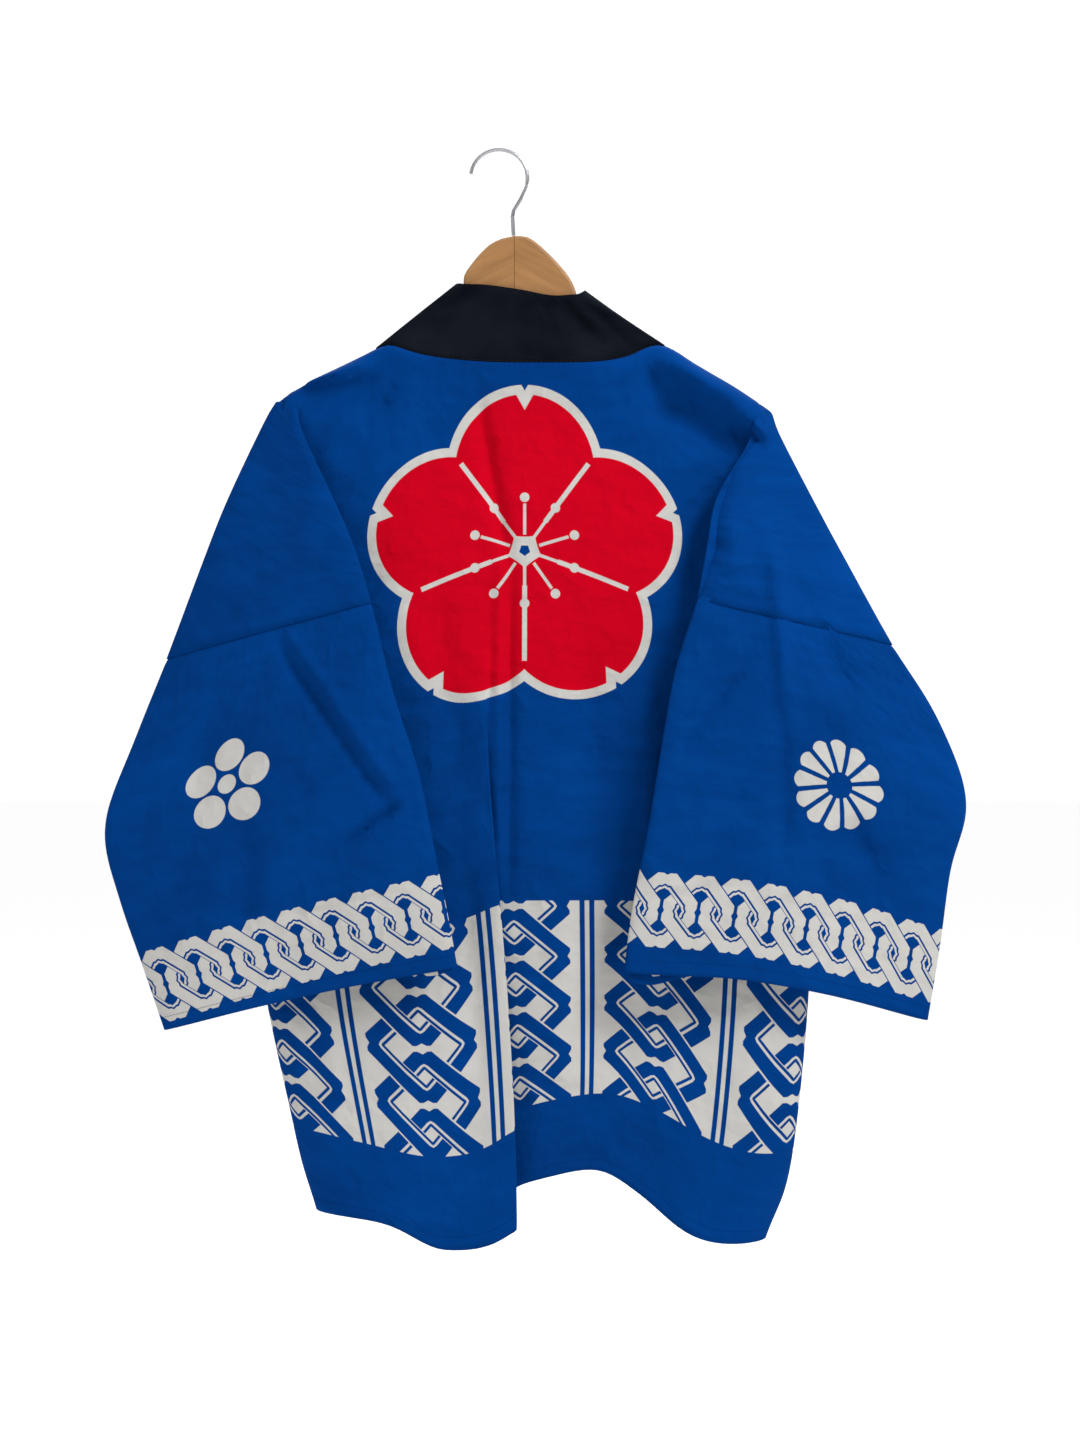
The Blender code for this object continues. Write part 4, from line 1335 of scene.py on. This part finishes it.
def make_wood(name, lean):
    mat, shader = finish(name, Roughness=0.38, Coat_Weight=0.35, Coat_Roughness=0.25)
    Field.tree = mat.node_tree
    turn = add_node("Mapping")
    turn.inputs["Rotation"].default_value = (0, math.radians(lean), 0)
    link(own_place(), turn.inputs["Vector"])
    grain = noise(turn.outputs[0], 1.0, 4.0, (9, 60, 130))
    pores = noise(turn.outputs[0], 1.0, 2.0, (60, 900, 900))
    share = (grain * 1.4 - 0.2 + (pores - 0.5) * 0.35).math("MULTIPLY", 1.0, clamp=True)
    tone = mixed((0.20, 0.090, 0.026), (0.36, 0.18, 0.062), share)
    link(tone, shader.inputs["Base Color"])
    bump_of(grain * 0.10 + pores * 0.06, shader)
    return mat


for side, lean in (("left", 28), ("right", -28)):
    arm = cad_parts["hanger_" + side]
    arm.material_slots[0].material = make_wood("wood_" + side, lean)
    print(arm.name, "has", arm.material_slots[0].material.name)

# %% [markdown]
# ## The joint in the wood
# The two arms meet square in the middle, on a hairline of dark glue that fills the gap between
# them. It is a thin slab as tall as the joint, with its four long corners beveled to follow the
# rounded wood, kept just inside the surface.

# %% Glue line
JOINT_X = 0.0143
joint_face = [v.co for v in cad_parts["hanger_left"].data.vertices if v.co.x > 0.01405]
joint_top = max(p.z for p in joint_face)
joint_low = min(p.z for p in joint_face)
bpy.ops.object.select_all(action="DESELECT")
bpy.ops.mesh.primitive_cube_add(size=1, location=(JOINT_X, 0, (joint_top + joint_low) / 2))
glue = bpy.context.object
glue.name = "glue_line"
glue.scale = (0.00036, 0.0114, joint_top - joint_low - 0.0008)
bpy.ops.object.transform_apply(location=True, rotation=True, scale=True)
bpy.ops.object.mode_set(mode="EDIT")
bpy.ops.mesh.select_mode(type="EDGE")
bpy.ops.mesh.select_all(action="DESELECT")
bpy.ops.object.mode_set(mode="OBJECT")
for edge in glue.data.edges:
    near, far = (glue.data.vertices[i].co.x for i in edge.vertices)
    edge.select = abs(near - far) > 0.0001
bpy.ops.object.mode_set(mode="EDIT")
bpy.ops.mesh.bevel(offset=0.0022, segments=3)
bpy.ops.object.mode_set(mode="OBJECT")
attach(glue, "root")


def make_glue():
    mat, shader = finish("glue_brown", Roughness=0.6)
    Field.tree = mat.node_tree
    cloudy = noise(own_place(), 400.0, 2.0)
    tone = mixed((0.03, 0.013, 0.005), (0.09, 0.04, 0.015), cloudy)
    link(tone, shader.inputs["Base Color"])
    return mat


glue.data.materials.append(make_glue())
print("glue line, mm:", [round(v * 1000, 2) for v in glue.dimensions], len(glue.data.polygons))

# %% [markdown]
# ## The hook
# Bright plated wire, rubbed a little by the rails it has hung on.

# %% Plated wire
def make_wire():
    mat, shader = finish("plated_wire_finish", Metallic=1.0)
    Field.tree = mat.node_tree
    cloudy = noise(own_place(), 35.0, 3.0)
    plating = mixed((0.26, 0.265, 0.28), (0.60, 0.61, 0.63), cloudy)
    link(plating, shader.inputs["Base Color"])
    link((cloudy * 0.12 + 0.20).socket, shader.inputs["Roughness"])
    return mat


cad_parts["hook"].material_slots[0].material = make_wire()
